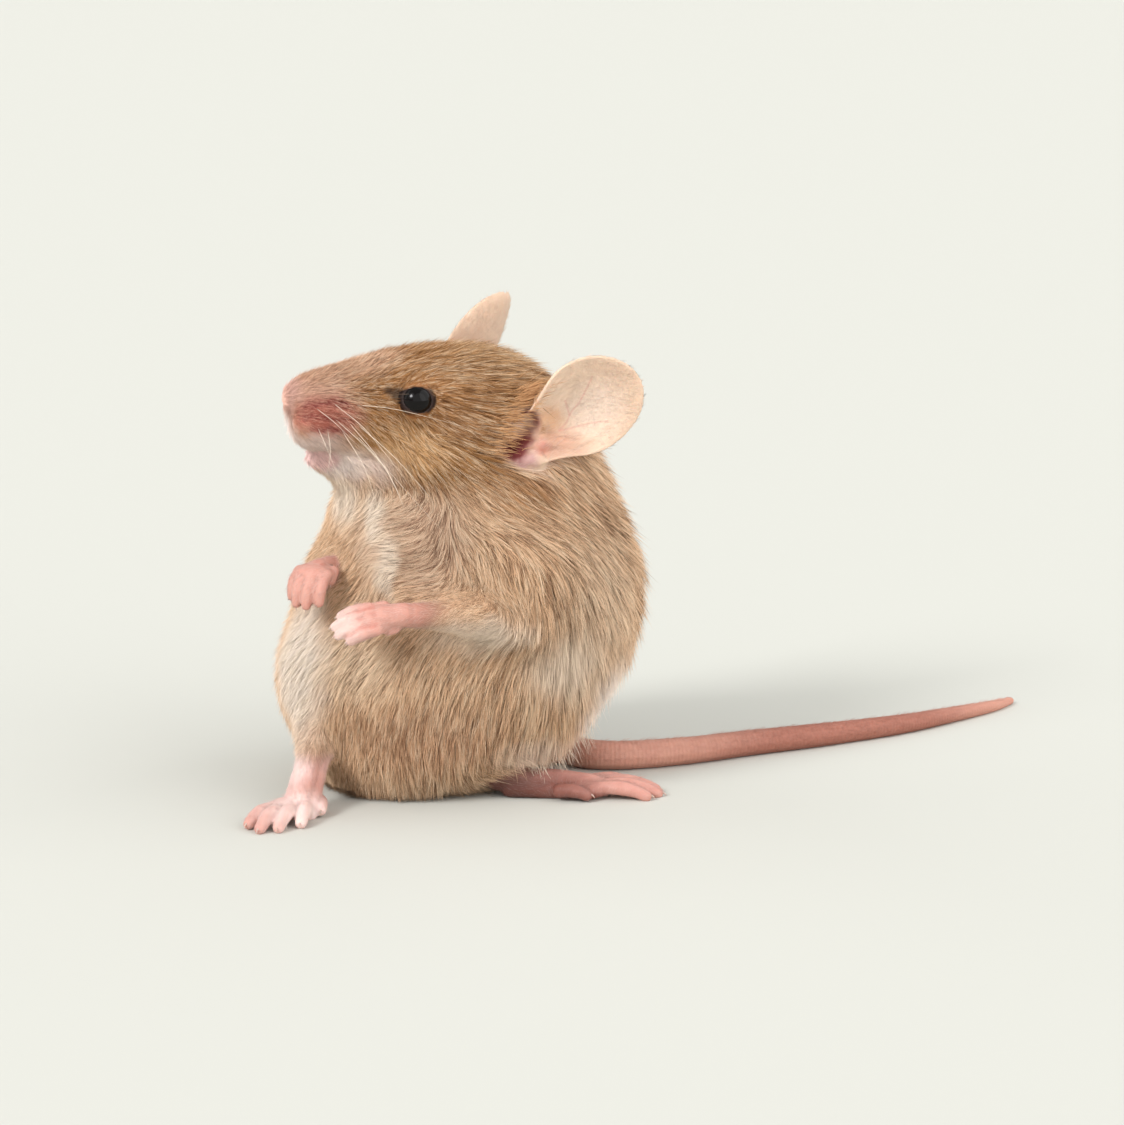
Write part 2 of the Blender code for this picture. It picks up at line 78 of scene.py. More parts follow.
# ------------------------------------------------------------------------------------------ driving sizes
HEAD_YAW, HEAD_PITCH, HEAD_ROLL = 192.0, 8.7, -8.0
NOSE_TIP = Vector((-17.1, 1.9, 39.3))
EYE_PLACE = Vector((-12.35, 4.62, 2.75))  # in the head's frame, for the left eye
EYE_RADIUS = 1.56
SOCKET = 1.6
LID_GAP = 0.13  # from the eyeball to the lid over it
LID_OPENING = 56.0  # degrees from the eye's axis
LEFT_WRIST = Vector((-5.5, -9.0, 20.5))
LEFT_ELBOW = Vector((7.4, -3.2, 19.4))
RIGHT_WRIST = Vector((-12.7, 0.4, 23.1))
RIGHT_ELBOW = Vector((-10.0, 3.6, 20.8))
LEFT_HEEL = Vector((2.2, 2.7, 0.0))
RIGHT_HEEL = Vector((-13.0, 3.4, 8.2))
RIGHT_BALL = Vector((-15.1, -4.9, 0.0))
RIGHT_SHANK = RIGHT_HEEL.lerp(RIGHT_BALL, 0.5)
ARMS = ((LEFT_ELBOW, LEFT_WRIST), (RIGHT_ELBOW, RIGHT_WRIST))
FOOT_LENGTH = 17.4
BALL_REACH = FOOT_LENGTH * 0.62
FINGER_LENGTH = 3.3
TOE_RADIUS = 0.68
FINGER_RADIUS = 0.57
EAR_WIDTH = 9.7
EAR_SHEET = 0.42
EAR_RIM = 0.26
EAR_AT_ROOT = 0.46  # its width at the root, as a share of the widest
EAR_AT_TIP = 0.5
TAIL_RING = 0.42
COAT_DEPTH = 1.1  # from the skin to the hairs' tips, on the back
BODY_VOXEL = 0.4
SKIN_VOXEL = 0.16
SKIN_TRIANGLES = 195000
TUFTS = 345000
LOCK_TUFTS = 13  # tufts that lean together, on average
GUARD_SHARE = 0.12  # of the tufts, which stand out beyond the rest


def head_spin():
    yaw, pitch, roll = (math.radians(angle) for angle in (HEAD_YAW, HEAD_PITCH, HEAD_ROLL))
    return Matrix.Rotation(yaw, 4, "Z") @ Matrix.Rotation(-pitch, 4, "Y") @ Matrix.Rotation(roll, 4, "X")


def middle(node):
    low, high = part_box(node)
    return (low + high) / 2 / MM


HEAD = Matrix.Translation(NOSE_TIP) @ head_spin()
HOME = middle("eye_left") - HEAD @ EYE_PLACE  # from the bench frame to the model's
TO_MODEL = Matrix.Scale(MM, 4) @ Matrix.Translation(HOME)


def on_model(place):
    """A bench place in the model's frame, in metres."""
    return TO_MODEL @ Vector(place)


def mirrored(place, side):
    return Vector((place[0], place[1] * side, place[2]))


def limb_frame(origin, along, up):
    x = Vector(along).normalized()
    y = Vector(up).cross(x).normalized()
    return Matrix.Translation(origin) @ Matrix((x, y, x.cross(y))).transposed().to_4x4()


LEFT_PAW = limb_frame(LEFT_WRIST, (-1, -0.12, -0.16), (-0.3, -0.75, 0.6))
RIGHT_PAW = limb_frame(RIGHT_WRIST, (-0.5, -0.85, -0.05), (0, 0, 1))
# Forward and upward places of the grooves between the fingers.
LEFT_GROOVE = ((2.0, 0.8), (3.4, 0.5), (5.0, -0.4))
RIGHT_GROOVE = ((1.6, 0.8), (3.1, 0.0), (3.9, -1.8))


def paw_side(paw):
    """+1 for the left forepaw's frame and -1 for the right's."""
    return 1 if paw is LEFT_PAW else -1


# ------------------------------------------------------------------------------------------ mesh building
def mesh_object(name, mesh, matrix=None):
    if matrix is not None:
        mesh.transform(matrix)
    made = bpy.data.objects.new(name, mesh)
    bpy.context.scene.collection.objects.link(made)
    return made


def from_bmesh(name, shape, matrix=None):
    bmesh.ops.recalc_face_normals(shape, faces=shape.faces)
    mesh = bpy.data.meshes.new(name)
    shape.to_mesh(mesh)
    shape.free()
    return mesh_object(name, mesh, matrix)


def ellipsoid(centre, radii, frame=None, segments=32):
    shape = bmesh.new()
    bmesh.ops.create_uvsphere(shape, u_segments=segments, v_segments=segments // 2, radius=1.0)
    place = Matrix.Translation(centre) @ Matrix.Diagonal((*radii, 1.0))
    return from_bmesh("ellipsoid", shape, (frame or Matrix()) @ place)


def smooth_path(points, per_span=6):
    """Vectors along the Catmull-Rom curve through the given ones."""
    ends = [points[0] * 2 - points[1], *points, points[-1] * 2 - points[-2]]
    path = []
    for a, b, c, d in zip(ends, ends[1:], ends[2:], ends[3:]):
        for step in range(per_span):
            t = step / per_span
            cubic = (3 * b - a - 3 * c + d) * t**3
            path.append((2 * b + (c - a) * t + (2 * a - 5 * b + 4 * c - d) * t * t + cubic) / 2)
    return [*path, points[-1].copy()]


def bevelled(path, frame=None, resolution=4):
    """A closed tube along path, vectors of a place and a radius."""
    curve = bpy.data.curves.new("tube", "CURVE")
    curve.dimensions = "3D"
    curve.bevel_depth = 1.0
    curve.bevel_resolution = resolution
    curve.use_fill_caps = True
    spline = curve.splines.new("POLY")
    spline.points.add(len(path) - 1)
    for point, place in zip(spline.points, path):
        point.co = (*place.to_3d(), 1.0)
        point.radius = place.w
    guide = bpy.data.objects.new("tube", curve)
    bpy.context.scene.collection.objects.link(guide)
    bpy.context.view_layer.update()
    mesh = bpy.data.meshes.new_from_object(guide.evaluated_get(bpy.context.evaluated_depsgraph_get()))
    bpy.data.objects.remove(guide)
    shape = bmesh.new()
    shape.from_mesh(mesh)
    bmesh.ops.remove_doubles(shape, verts=shape.verts, dist=0.0001)
    return from_bmesh("tube", shape, frame)


def tube(points, radii, frame=None):
    """A smooth tube of changing radius through points, round at both ends."""
    path = smooth_path([Vector((*point, radius)) for point, radius in zip(points, radii)])
    ends = []
    for at, towards in ((0, 1), (-1, -2)):
        out = (path[at].to_3d() - path[towards].to_3d()).normalized()
        end = path[at]
        cap = []
        for along, share in ((0.5, 0.84), (0.85, 0.45)):
            cap.append(Vector((*(end.to_3d() + out * end.w * along), end.w * share)))
        ends.append(cap)
    return bevelled([*reversed(ends[0]), *path, *ends[1]], frame)


def modify(made, kind, **settings):
    modifier = made.modifiers.new(kind.title(), kind)
    for name, value in settings.items():
        setattr(modifier, name, value)


def applied(made):
    bpy.context.view_layer.update()
    mesh = bpy.data.meshes.new_from_object(made.evaluated_get(bpy.context.evaluated_depsgraph_get()))
    result = mesh_object(made.name, mesh)
    bpy.data.objects.remove(made)
    return result


def thinned(made, triangles):
    """The object with its mesh decimated to about that many triangles."""
    made.data.calc_loop_triangles()
    modify(made, "DECIMATE", ratio=triangles / len(made.data.loop_triangles))
    return applied(made)


def fused(masses, voxel, smoothing):
    """The masses as one closed surface, remeshed at the voxel's size and smoothed."""
    shape = bmesh.new()
    for mass in masses:
        shape.from_mesh(mass.data)
        bpy.data.objects.remove(mass)
    made = from_bmesh("fused", shape)
    modify(made, "REMESH", mode="VOXEL", voxel_size=voxel, adaptivity=0.0)
    modify(made, "SMOOTH", factor=0.5, iterations=smoothing)
    return applied(made)


def points_of(mesh, kind="co"):
    """The mesh's points, or their normals, as an array."""
    values = np.zeros(len(mesh.vertices) * 3, np.float32)
    source = mesh.vertices if kind == "co" else mesh.vertex_normals
    source.foreach_get("co" if kind == "co" else "vector", values)
    return values.reshape(-1, 3).astype(float)


def set_points(mesh, places):
    mesh.vertices.foreach_set("co", places.astype(np.float32).ravel())
    mesh.update()


def keep(mesh, name, values):
    """Keeps a number for each point of the mesh, which the finishes read by its name."""
    mesh.attributes.new(name, "FLOAT", "POINT").data.foreach_set("value", values.astype(np.float32))


def tree_of(mesh):
    """The mesh's surface, to be asked for its nearest points."""
    return BVHTree.FromPolygons(points_of(mesh).tolist(), [tuple(p.vertices) for p in mesh.polygons])


def squares_between(places, others):
    """The squared distance from each place to each of the others."""
    return (places**2).sum(1)[:, None] - 2 * places @ others.T + (others**2).sum(1)


def ramp(value, low, high):
    """0 below low, 1 above high and smooth between."""
    t = np.clip((value - low) / (high - low), 0, 1)
    return t * t * (3 - 2 * t)


def unit(vectors):
    return vectors / np.maximum(np.linalg.norm(vectors, axis=1), 1e-9)[:, None]


def distance(places, centre):
    return np.linalg.norm(places - np.array(centre), axis=1)


def to_line(places, a, b):
    """Distance from each place to the line from a to b."""
    a, b = np.array(a), np.array(b)
    share = np.clip((places - a) @ (b - a) / ((b - a) @ (b - a)), 0, 1)
    return np.linalg.norm(places - a - share[:, None] * (b - a), axis=1)


def in_head(places):
    """Bench places in the head's frame."""
    inverse = np.array(HEAD.inverted())
    return places @ inverse[:3, :3].T + inverse[:3, 3]


# -------------------------------------------------------------------------------------------- shader maths
class Wire:
    """A socket that carries a number, so that shader maths reads as Python."""

    def __init__(self, tree, socket):
        self.tree, self.socket = tree, socket

    def maths(self, operation, *values):
        made = self.tree.nodes.new("ShaderNodeMath")
        made.operation = operation
        for slot, value in zip(made.inputs, values):
            if isinstance(value, Wire):
                self.tree.links.new(value.socket, slot)
            else:
                slot.default_value = value
        return Wire(self.tree, made.outputs[0])

    def __add__(self, other):
        return self.maths("ADD", self, other)

    def __sub__(self, other):
        return self.maths("SUBTRACT", self, other)

    def __rsub__(self, other):
        return self.maths("SUBTRACT", other, self)

    def __mul__(self, other):
        return self.maths("MULTIPLY", self, other)

    __radd__ = __add__
    __rmul__ = __mul__

    def larger(self, other):
        return self.maths("MAXIMUM", self, other)

    def capped(self):
        return self.maths("MINIMUM", self.maths("MAXIMUM", self, 0.0), 1.0)


class Finish:
    """A material that is built up from expressions."""

    def __init__(self, name, **constants):
        self.material = bpy.data.materials.new(name)
        self.material.use_nodes = True
        self.tree = self.material.node_tree
        self.shader = self.tree.nodes["Principled BSDF"]
        for socket, value in constants.items():
            self.shader.inputs[socket.replace("_", " ")].default_value = value
        self.place = self.node("ShaderNodeTexCoord", "Object")

    def node(self, kind, output=0, settings=None, **values):
        """A node of that type, with its settings set first and then the values or links of its sockets."""
        made = self.tree.nodes.new(kind)
        for name, value in (settings or {}).items():
            setattr(made, name, value)
        for name, value in values.items():
            slot = made.inputs[int(name[1:])] if name[1:].isdigit() else made.inputs[name.replace("_", " ")]
            if isinstance(value, Wire):
                self.tree.links.new(value.socket, slot)
            else:
                slot.default_value = value
        return Wire(self.tree, made.outputs[output])

    def noise(self, scale, detail=2.0):
        """Noise from 0 to 1 whose cells are about 1 / scale millimetres across."""
        return self.node("ShaderNodeTexNoise", Vector=self.place, Scale=scale / MM, Detail=detail)

    def vector(self, operation, *values, output=0, **named):
        named |= {f"_{index}": value for index, value in enumerate(values)}
        return self.node("ShaderNodeVectorMath", output, {"operation": operation}, **named)

    def mix(self, share, low, high, blend="MIX"):
        """A colour between two."""
        colours = [(*c, 1.0) if isinstance(c, tuple) else c for c in (low, high)]
        settings = {"data_type": "RGBA", "blend_type": blend}
        return self.node("ShaderNodeMix", 2, settings, _0=share, _6=colours[0], _7=colours[1])

    def range(self, value, low, high):
        """0 below low, 1 above high and smooth between."""
        settings = {"interpolation_type": "SMOOTHSTEP"}
        return self.node("ShaderNodeMapRange", 0, settings, _0=value, _1=low, _2=high)

    def near(self, centre, radii, edge, place=None):
        """1 inside an ellipsoid of the bench frame, fading to 0 at its surface from edge of the way out."""
        sizes = tuple(1 / (radius * MM) for radius in radii)
        start = self.vector("SUBTRACT", place or self.place, tuple(on_model(centre)))
        away = self.vector("LENGTH", self.vector("MULTIPLY", start, sizes), output="Value")
        return 1 - self.range(away, edge, 1.0)

    def line(self, points, width, edge, place=None):
        """1 on a line through bench places, fading to 0 a width away."""
        nearest = None
        for a, b in zip(points, points[1:]):
            a, b = on_model(a), on_model(b)
            step = b - a
            start = self.vector("SUBTRACT", place or self.place, tuple(a))
            share = self.vector("DOT_PRODUCT", start, tuple(step / step.length_squared), output="Value")
            foot = self.vector("SCALE", tuple(step), Scale=share.capped())
            away = self.vector("DISTANCE", start, foot, output="Value")
            nearest = nearest.maths("MINIMUM", nearest, away) if nearest else away
        return 1 - self.range(nearest, width * edge * MM, width * MM)

    def patched(self, colour, patches, place=None, frame=None):
        """A colour with soft patches of others over it, whose centres are in the frame given."""
        for centre, radii, edge, tint, share in patches:
            mark = self.near((frame or Matrix()) @ Vector(centre), radii, edge, place)
            colour = self.mix(mark * share, colour, tint)
        return colour

    def attribute(self, name):
        return self.node("ShaderNodeAttribute", "Fac", {"attribute_name": name})

    def wobbled(self, amount, scale):
        """The surface's place, pushed about by noise by up to amount mm."""
        push = self.node("ShaderNodeTexNoise", "Color", Vector=self.place, Scale=scale / MM, Detail=2.0)
        centred = self.vector("SUBTRACT", push, (0.5, 0.5, 0.5))
        return self.vector("ADD", self.place, self.vector("SCALE", centred, Scale=2 * amount * MM))

    def to(self, socket, value):
        self.tree.links.new(value.socket, self.shader.inputs[socket])

    def bump(self, height, strength, depth):
        bumped = self.node("ShaderNodeBump", Height=height, Strength=strength, Distance=depth * MM)
        self.to("Normal", bumped)


# ------------------------------------------------------------------------------------------------ markings
def on_head(*places):
    """Bench places for places in the head's frame."""
    return [HEAD @ Vector(place) for place in places]


CANAL = on_head((-21.8, 6.6, -0.2), (-23.0, 6.3, 2.2))
EYES = on_head(EYE_PLACE, mirrored(EYE_PLACE, -1))
PAD_ROWS = (
    ((-2.3, 2.3, 0.3), (-4.0, 2.8, 0.8), (-6.0, 3.1, 1.2)),
    ((-2.4, 2.9, -0.7), (-4.0, 3.2, -0.5), (-6.0, 3.3, -0.3)),
    ((-3.2, 3.3, -1.6), (-5.0, 3.3, -1.6), (-6.9, 3.4, -1.3)),
)
VEINS = (  # across and up, on the front of the left ear
    ((9.7, 36.2), (10.3, 37.0), (10.6, 37.7), (11.5, 38.9), (12.2, 40.2), (12.8, 41.6)),
    ((10.6, 37.7), (10.2, 39.1)),
    ((9.7, 36.2), (11.4, 36.6), (12.6, 36.9), (14.3, 37.1)),
)
FACE_PLACE = (HEAD @ Vector((-2.5, 0.0, -1.8)), (7.0, 6.0, 6.0))
PALE_PLACES = (  # where few of the hairs are dark
    ((-8.4, -4.0, 26.0), (2.4, 8.0, 8.0)),
    ((-13.0, 1.0, 29.5), (6.0, 6.0, 5.0)),
    ((-8.5, 1.0, 33.4), (7.0, 6.0, 3.0)),
    ((2.5, -8.5, 17.0), (9.5, 6.0, 4.0)),
    ((-16.0, 0.0, 14.0), (6.0, 9.0, 12.0)),
    ((14.5, 5.0, 8.0), (8.0, 10.0, 11.0)),
    ((10.5, -1.0, 13.5), (6.0, 8.0, 5.5)),
    ((8.8, -3.6, 34.2), (4.6, 5.0, 2.8)),
    ((9.5, -2.0, 3.4), (7.0, 8.0, 3.0)),
)
# Soft patches of another colour: centre, radii, where the fade starts, tint and share.
COAT_PATCHES = (
    ((-4.0, 3.0, 39.0), (24.0, 16.0, 9.5), 0.65, (0.50, 0.232, 0.081), 1.0),  # golden head
    ((4.0, 6.0, 43.0), (11.0, 11.0, 6.0), 0.2, (0.60, 0.345, 0.165), 0.8),  # crown
    ((1.0, -1.0, 36.5), (6.0, 5.0, 3.4), 0.2, (0.45, 0.22, 0.09), 0.8),  # behind the cheek
    ((0.0, -2.0, 33.2), (8.0, 7.0, 3.6), 0.3, (0.435, 0.202, 0.064), 0.9),  # cheek's lower edge
    ((6.5, -1.0, 30.6), (5.0, 6.0, 3.2), 0.2, (0.55, 0.272, 0.115), 0.9),  # side of the neck
    ((-4.0, -3.0, 26.5), (7.5, 8.0, 7.0), 0.4, (0.64, 0.41, 0.28), 0.8),  # breast
    ((-11.0, -5.0, 14.0), (7.0, 7.0, 5.5), 0.2, (0.94, 0.70, 0.49), 0.8),  # belly's pale side
    ((13.5, 2.0, 17.0), (7.0, 12.0, 13.0), 0.2, (0.97, 0.68, 0.46), 0.85),  # left flank
    ((-3.5, -5.0, 6.4), (13.0, 9.0, 5.6), 0.3, (0.70, 0.38, 0.22), 0.7),  # belly
    ((-8.2, -4.0, 26.0), (3.0, 8.0, 8.0), 0.1, (0.90, 0.66, 0.49), 0.6),  # pale breast
    ((-7.9, -4.0, 28.8), (1.5, 8.0, 3.8), 0.35, (0.99, 0.82, 0.66), 0.9),  # its midline
    ((-6.7, -4.0, 23.6), (1.6, 8.0, 4.0), 0.35, (0.99, 0.82, 0.66), 0.9),  # the midline lower down
    ((-13.0, 1.0, 29.5), (5.5, 6.0, 4.5), 0.3, (0.96, 0.82, 0.68), 0.9),  # throat
    ((-9.5, 1.0, 33.0), (6.5, 6.0, 2.6), 0.3, (0.88, 0.68, 0.58), 0.9),  # under the jaw
    ((2.5, -8.5, 17.4), (9.0, 6.0, 3.6), 0.4, (0.99, 0.78, 0.61), 1.0),  # fold under the arm
    ((10.5, -1.5, 13.6), (6.0, 7.0, 5.0), 0.2, (1.0, 0.79, 0.61), 0.9),  # fold's end on the flank
    # The right flank's edge: partly paler fur, partly painted rim light along the silhouette.
    ((-16.0, 0.0, 14.0), (5.0, 9.0, 12.0), 0.3, (0.97, 0.84, 0.72), 0.9),  # right flank's edge
    ((15.0, 6.0, 7.0), (6.0, 8.0, 8.0), 0.3, (1.0, 0.86, 0.76), 1.0),  # rump
    # Painted shade: the seat is darkened where the body sits on the floor.
    ((-4.0, 6.0, 0.0), (16.0, 16.0, 5.2), 0.2, (0.49, 0.315, 0.20), 0.75),  # seat
    ((9.0, -2.0, 4.0), (7.0, 8.0, 3.2), 0.3, (0.98, 0.74, 0.60), 0.85),  # fringe above the foot
    ((8.8, -3.6, 34.2), (4.6, 5.0, 2.8), 0.3, (0.97, 0.80, 0.68), 0.85),  # below the ear
)
BROW_PATCHES = (
    ((-13.0, 5.5, -1.6), (6.0, 4.0, 3.4), 0.2, (0.82, 0.46, 0.20), 0.9),  # gold below the eye
    ((-7.5, 0.0, 5.0), (6.0, 5.0, 3.4), 0.2, (0.76, 0.44, 0.28), 0.9),  # bridge of the nose
)


def coat_markings(finish):
    """The coat's colour over the body, which the skin under it shares."""
    place = finish.wobbled(1.3, 0.35)
    colour = finish.mix(finish.noise(0.22), (0.80, 0.485, 0.28), (0.89, 0.57, 0.35))
    colour = finish.patched(colour, COAT_PATCHES, place)
    colour = finish.patched(colour, BROW_PATCHES, place, HEAD)
    return colour


FACE_PATCHES = (
    ((-4.4, 0.0, -0.6), (6.6, 6.0, 6.0), 0.35, (0.90, 0.54, 0.42), 0.9),  # muzzle
    ((-4.4, 2.9, -0.3), (4.6, 3.2, 2.6), 0.4, (0.50, 0.13, 0.09), 0.95),  # left pad
    ((-4.4, -2.9, -0.3), (4.6, 3.2, 2.6), 0.4, (0.50, 0.13, 0.09), 0.95),  # right pad
    ((-0.6, 0.0, 0.4), (2.7, 2.6, 2.8), 0.5, (0.80, 0.46, 0.37), 1.0),  # nose
    ((-3.9, 0.0, -3.35), (5.6, 5.0, 2.3), 0.4, (0.98, 0.82, 0.76), 0.97),  # lips' edge
    ((-1.4, 0.0, -2.9), (3.0, 3.8, 2.3), 0.3, (0.98, 0.86, 0.82), 1.0),  # upper lip
    ((-7.4, 0.0, -5.3), (4.8, 4.8, 2.2), 0.4, (0.95, 0.79, 0.71), 1.0),  # chin
    ((-4.9, 0.0, -5.2), (3.3, 3.0, 1.7), 0.6, (0.99, 0.64, 0.60), 1.0),  # lower lip
)


def face_markings(finish, colour):
    """The thinly haired muzzle, the lips and the whisker pads, laid over another colour."""
    place = finish.wobbled(0.5, 0.9)
    colour = finish.patched(colour, FACE_PATCHES, place, HEAD)
    for row in PAD_ROWS:
        for side in (1, -1):
            mark = finish.line(on_head(*(mirrored(point, side) for point in row)), 0.46, 0.15, place)
            colour = finish.mix(mark * 0.85, colour, (0.29, 0.042, 0.038))
    return colour


def ear_veins(ear_tree):
    """The veins' places, drawn onto the front of the left ear."""
    ahead, inward = -40.0, Vector((0.0, 1.0, 0.0))
    hits = [[ear_tree.ray_cast(Vector((x, ahead, z)), inward)[0] for x, z in vein] for vein in VEINS]
    return [[hit for hit in line if hit] for line in hits]


def eye_rims(finish, colour):
    """The dark rims of the eyes and the streaks at their front corners."""
    for eye, side in zip(EYES, (1, -1)):
        rim = finish.near(eye, (1.95, 1.9, 1.66), 0.88, finish.wobbled(0.12, 1.5))
        corner = [mirrored(p, side) for p in ((-11.2, 5.2, 3.0), (-10.3, 4.9, 3.15), (-9.5, 4.6, 3.3))]
        streak = finish.line(on_head(*corner[:2]), 1.0, 0.3)
        streak = streak.larger(finish.line(on_head(*corner), 0.65, 0.2))
        colour = finish.mix((rim + streak * 0.8).capped() * 0.97, colour, (0.014, 0.006, 0.006))
    return colour


SOLE_PATCHES = (
    # Painted shade: the left foot, darkest at its heel, lies under the body and is darkened well below the
    # sole's pink.
    (LEFT_HEEL + Vector((7.0, -1.5, 0.0)), (7.0, 5.0, 3.7), 0.4, (0.21, 0.074, 0.055), 0.95),  # left foot
    (LEFT_HEEL + Vector((0.5, 0.0, 0.8)), (8.0, 5.0, 3.4), 0.4, (0.10, 0.032, 0.022), 0.95),  # its heel
    (RIGHT_BALL + Vector((-0.5, -2.0, 0.5)), (6.0, 6.0, 3.0), 0.3, (0.92, 0.71, 0.66), 0.85),  # right toes
    (LEFT_HEEL + Vector((11.2, -2.6, 0.2)), (1.6, 2.0, 0.9), 0.2, (0.40, 0.12, 0.09), 0.8),  # toe gaps
    (RIGHT_SHANK + Vector((1.8, 0.6, 0.0)), (1.6, 6.0, 6.0), 0.2, (0.74, 0.48, 0.42), 0.8),  # shank's back
    (RIGHT_SHANK + Vector((-1.4, -1.0, 0.0)), (2.4, 5.0, 6.0), 0.3, (0.87, 0.67, 0.63), 0.85),  # its front
    (RIGHT_BALL + Vector((0.0, -3.0, 0.2)), (5.0, 1.6, 0.8), 0.3, (0.58, 0.20, 0.17), 0.7),  # toe gaps
)
EAR_PATCHES = (
    ((-29.0, 5.6, 4.6), (4.4, 4.0, 4.4), 0.2, (0.82, 0.66, 0.55), 0.7),  # pale middle
    # Painted light: the thin upper ear is lightened where light shines through it.
    ((-25.8, 6.0, 7.0), (4.5, 4.0, 4.0), 0.2, (0.86, 0.66, 0.50), 0.6),  # top of the front edge
    # Painted shade in the ear's hollow.
    ((-25.2, 5.2, 2.3), (1.9, 2.0, 2.3), 0.3, (0.72, 0.42, 0.25), 0.85),  # hollow
    ((-25.8, 5.6, 0.2), (4.8, 2.6, 2.3), 0.2, (0.55, 0.29, 0.20), 0.85),  # lower lobe
    ((-24.3, 6.2, 0.0), (1.7, 1.6, 1.1), 0.3, (0.66, 0.28, 0.22), 0.85),  # flushed fold
    ((-23.2, 7.2, -1.1), (1.8, 2.0, 1.2), 0.4, (0.50, 0.28, 0.265), 0.9),  # base of the lobe
)


def flesh_markings(finish, colour, veins):
    """The ears, paws, feet and tail, each laid over another colour where its own flesh is."""
    place = finish.wobbled(0.5, 0.9)
    speckle = finish.noise(0.9)
    pink = finish.mix(speckle, (0.58, 0.265, 0.21), (0.64, 0.345, 0.28))
    tips = finish.near(LEFT_PAW @ Vector((5.6, 0.0, -0.6)), (4.0, 5.0, 4.0), 0.1, place)
    pink = finish.mix(tips * 0.75, pink, (0.84, 0.64, 0.58))
    for paw, row in ((LEFT_PAW, LEFT_GROOVE), (RIGHT_PAW, RIGHT_GROOVE)):
        for across in (-0.9, 0.0, 0.95):
            groove = [paw @ Vector((x, across * paw_side(paw), z)) for x, z in row]
            pink = finish.mix(finish.line(groove, 0.5, 0.0, place) * 0.5, pink, (0.50, 0.14, 0.10))
    forearm = finish.line((LEFT_WRIST.lerp(LEFT_ELBOW, 0.30), LEFT_ELBOW), 5.0, 0.0, place)
    wrist = finish.line((RIGHT_WRIST.lerp(RIGHT_ELBOW, 0.45), RIGHT_ELBOW), 3.6, 0.0, place)
    pink = finish.mix(forearm.larger(wrist) * 0.9, pink, (0.34, 0.125, 0.068))
    sole = finish.mix(speckle, (0.55, 0.25, 0.20), (0.62, 0.33, 0.275))
    sole = finish.patched(sole, SOLE_PATCHES, place)
    peach = finish.mix(finish.noise(0.3), (0.74, 0.515, 0.37), (0.79, 0.585, 0.44))
    peach = finish.patched(peach, EAR_PATCHES, place, HEAD)
    # Painted shade: the ear's canal, a recess pressed into the head, is drawn nearly black.
    canal = finish.line(CANAL, 2.0, 0.45, place)
    peach = finish.mix(canal, peach, (0.16, 0.030, 0.028))
    for vein in veins:
        mark = finish.line(vein, 0.18, 0.0, finish.wobbled(0.1, 0.9))
        peach = finish.mix(mark * 0.45, peach, (0.66, 0.31, 0.25))
    # Painted shade: the tail is darker along its underside, where it lies on the floor.
    under = finish.near((24.0, 17.0, -1.2), (50.0, 40.0, 2.2), 0.5)
    salmon = finish.mix(finish.noise(0.35), (0.60, 0.28, 0.21), (0.68, 0.35, 0.26))
    past_bend = finish.near((39.0, 24.0, 0.0), (26.5, 23.0, 6.0), 0.4)
    salmon = finish.mix(past_bend * 0.9, salmon, (0.35, 0.13, 0.09))
    salmon = finish.mix(under * 0.5, salmon, (0.27, 0.12, 0.09))
    for kind, tint in (("paw", pink), ("foot", sole), ("ear", peach), ("tail", salmon)):
        colour = finish.mix(finish.attribute(kind), colour, tint)
    return colour


# ---------------------------------------------------------------------------------------------- skin pieces
def ear(root, tip, facing, wraps, bow, cuts, rows=30, columns=24, widest=0.56):
    """A pinna: a rounded sheet rolled into a funnel at its root and hollow towards facing.

    The cuts round off its front and back corners at the root.
    """
    root, tip = Vector(root), Vector(tip)
    along = (tip - root).normalized()
    normal = (Vector(facing) - along * along.dot(facing)).normalized()
    across = normal.cross(along)
    shape = bmesh.new()
    grid = []
    for i in range(rows + 1):
        s = 1 - (1 - i / rows) ** 1.35
        rise = min(s / widest, 1.0)
        half = EAR_WIDTH / 2 * (EAR_AT_ROOT + (1 - EAR_AT_ROOT) * rise * rise * (3 - 2 * rise))
        if s > widest:
            half = max(EAR_WIDTH / 2 * math.sqrt(1 - ((s - widest) / (1 - widest)) ** 2), EAR_AT_TIP)
        wrap = math.radians(wraps[1] + (wraps[0] - wraps[1]) * (1 - s) ** 1.7)
        radius = half / math.sin(min(wrap, math.pi / 2))
        front, back = (1 - cut * (1 - min(s / 0.42, 1.0)) ** 1.5 for cut in cuts)
        row = []
        for j in range(columns + 1):
            turn = 2 * j / columns - 1
            angle = wrap * (turn * front if turn > 0 else turn * back)
            hollow = radius * (1 - math.cos(angle)) - radius * (1 - math.cos(wrap)) * 0.35
            lift = normal * (hollow - bow * math.sin(math.pi * s))
            row.append(shape.verts.new(root.lerp(tip, s) + across * (radius * math.sin(angle)) + lift))
        grid.append(row)
    for low, high in zip(grid, grid[1:]):
        for a, b, c, d in zip(low, low[1:], high[1:], high):
            shape.faces.new((a, b, c, d))
    made = from_bmesh("pinna", shape, HEAD)
    thick = made.vertex_groups.new(name="thick")
    for index in range(len(made.data.vertices)):
        i, j = divmod(index, columns + 1)
        thick.add([index], min((rows - i) / 5, (columns - j) / 4, j / 4, 1.0), "REPLACE")
    sheet = {"thickness": EAR_SHEET, "thickness_vertex_group": EAR_RIM / EAR_SHEET}
    modify(made, "SOLIDIFY", offset=0.0, vertex_group="thick", **sheet)
    return applied(made)


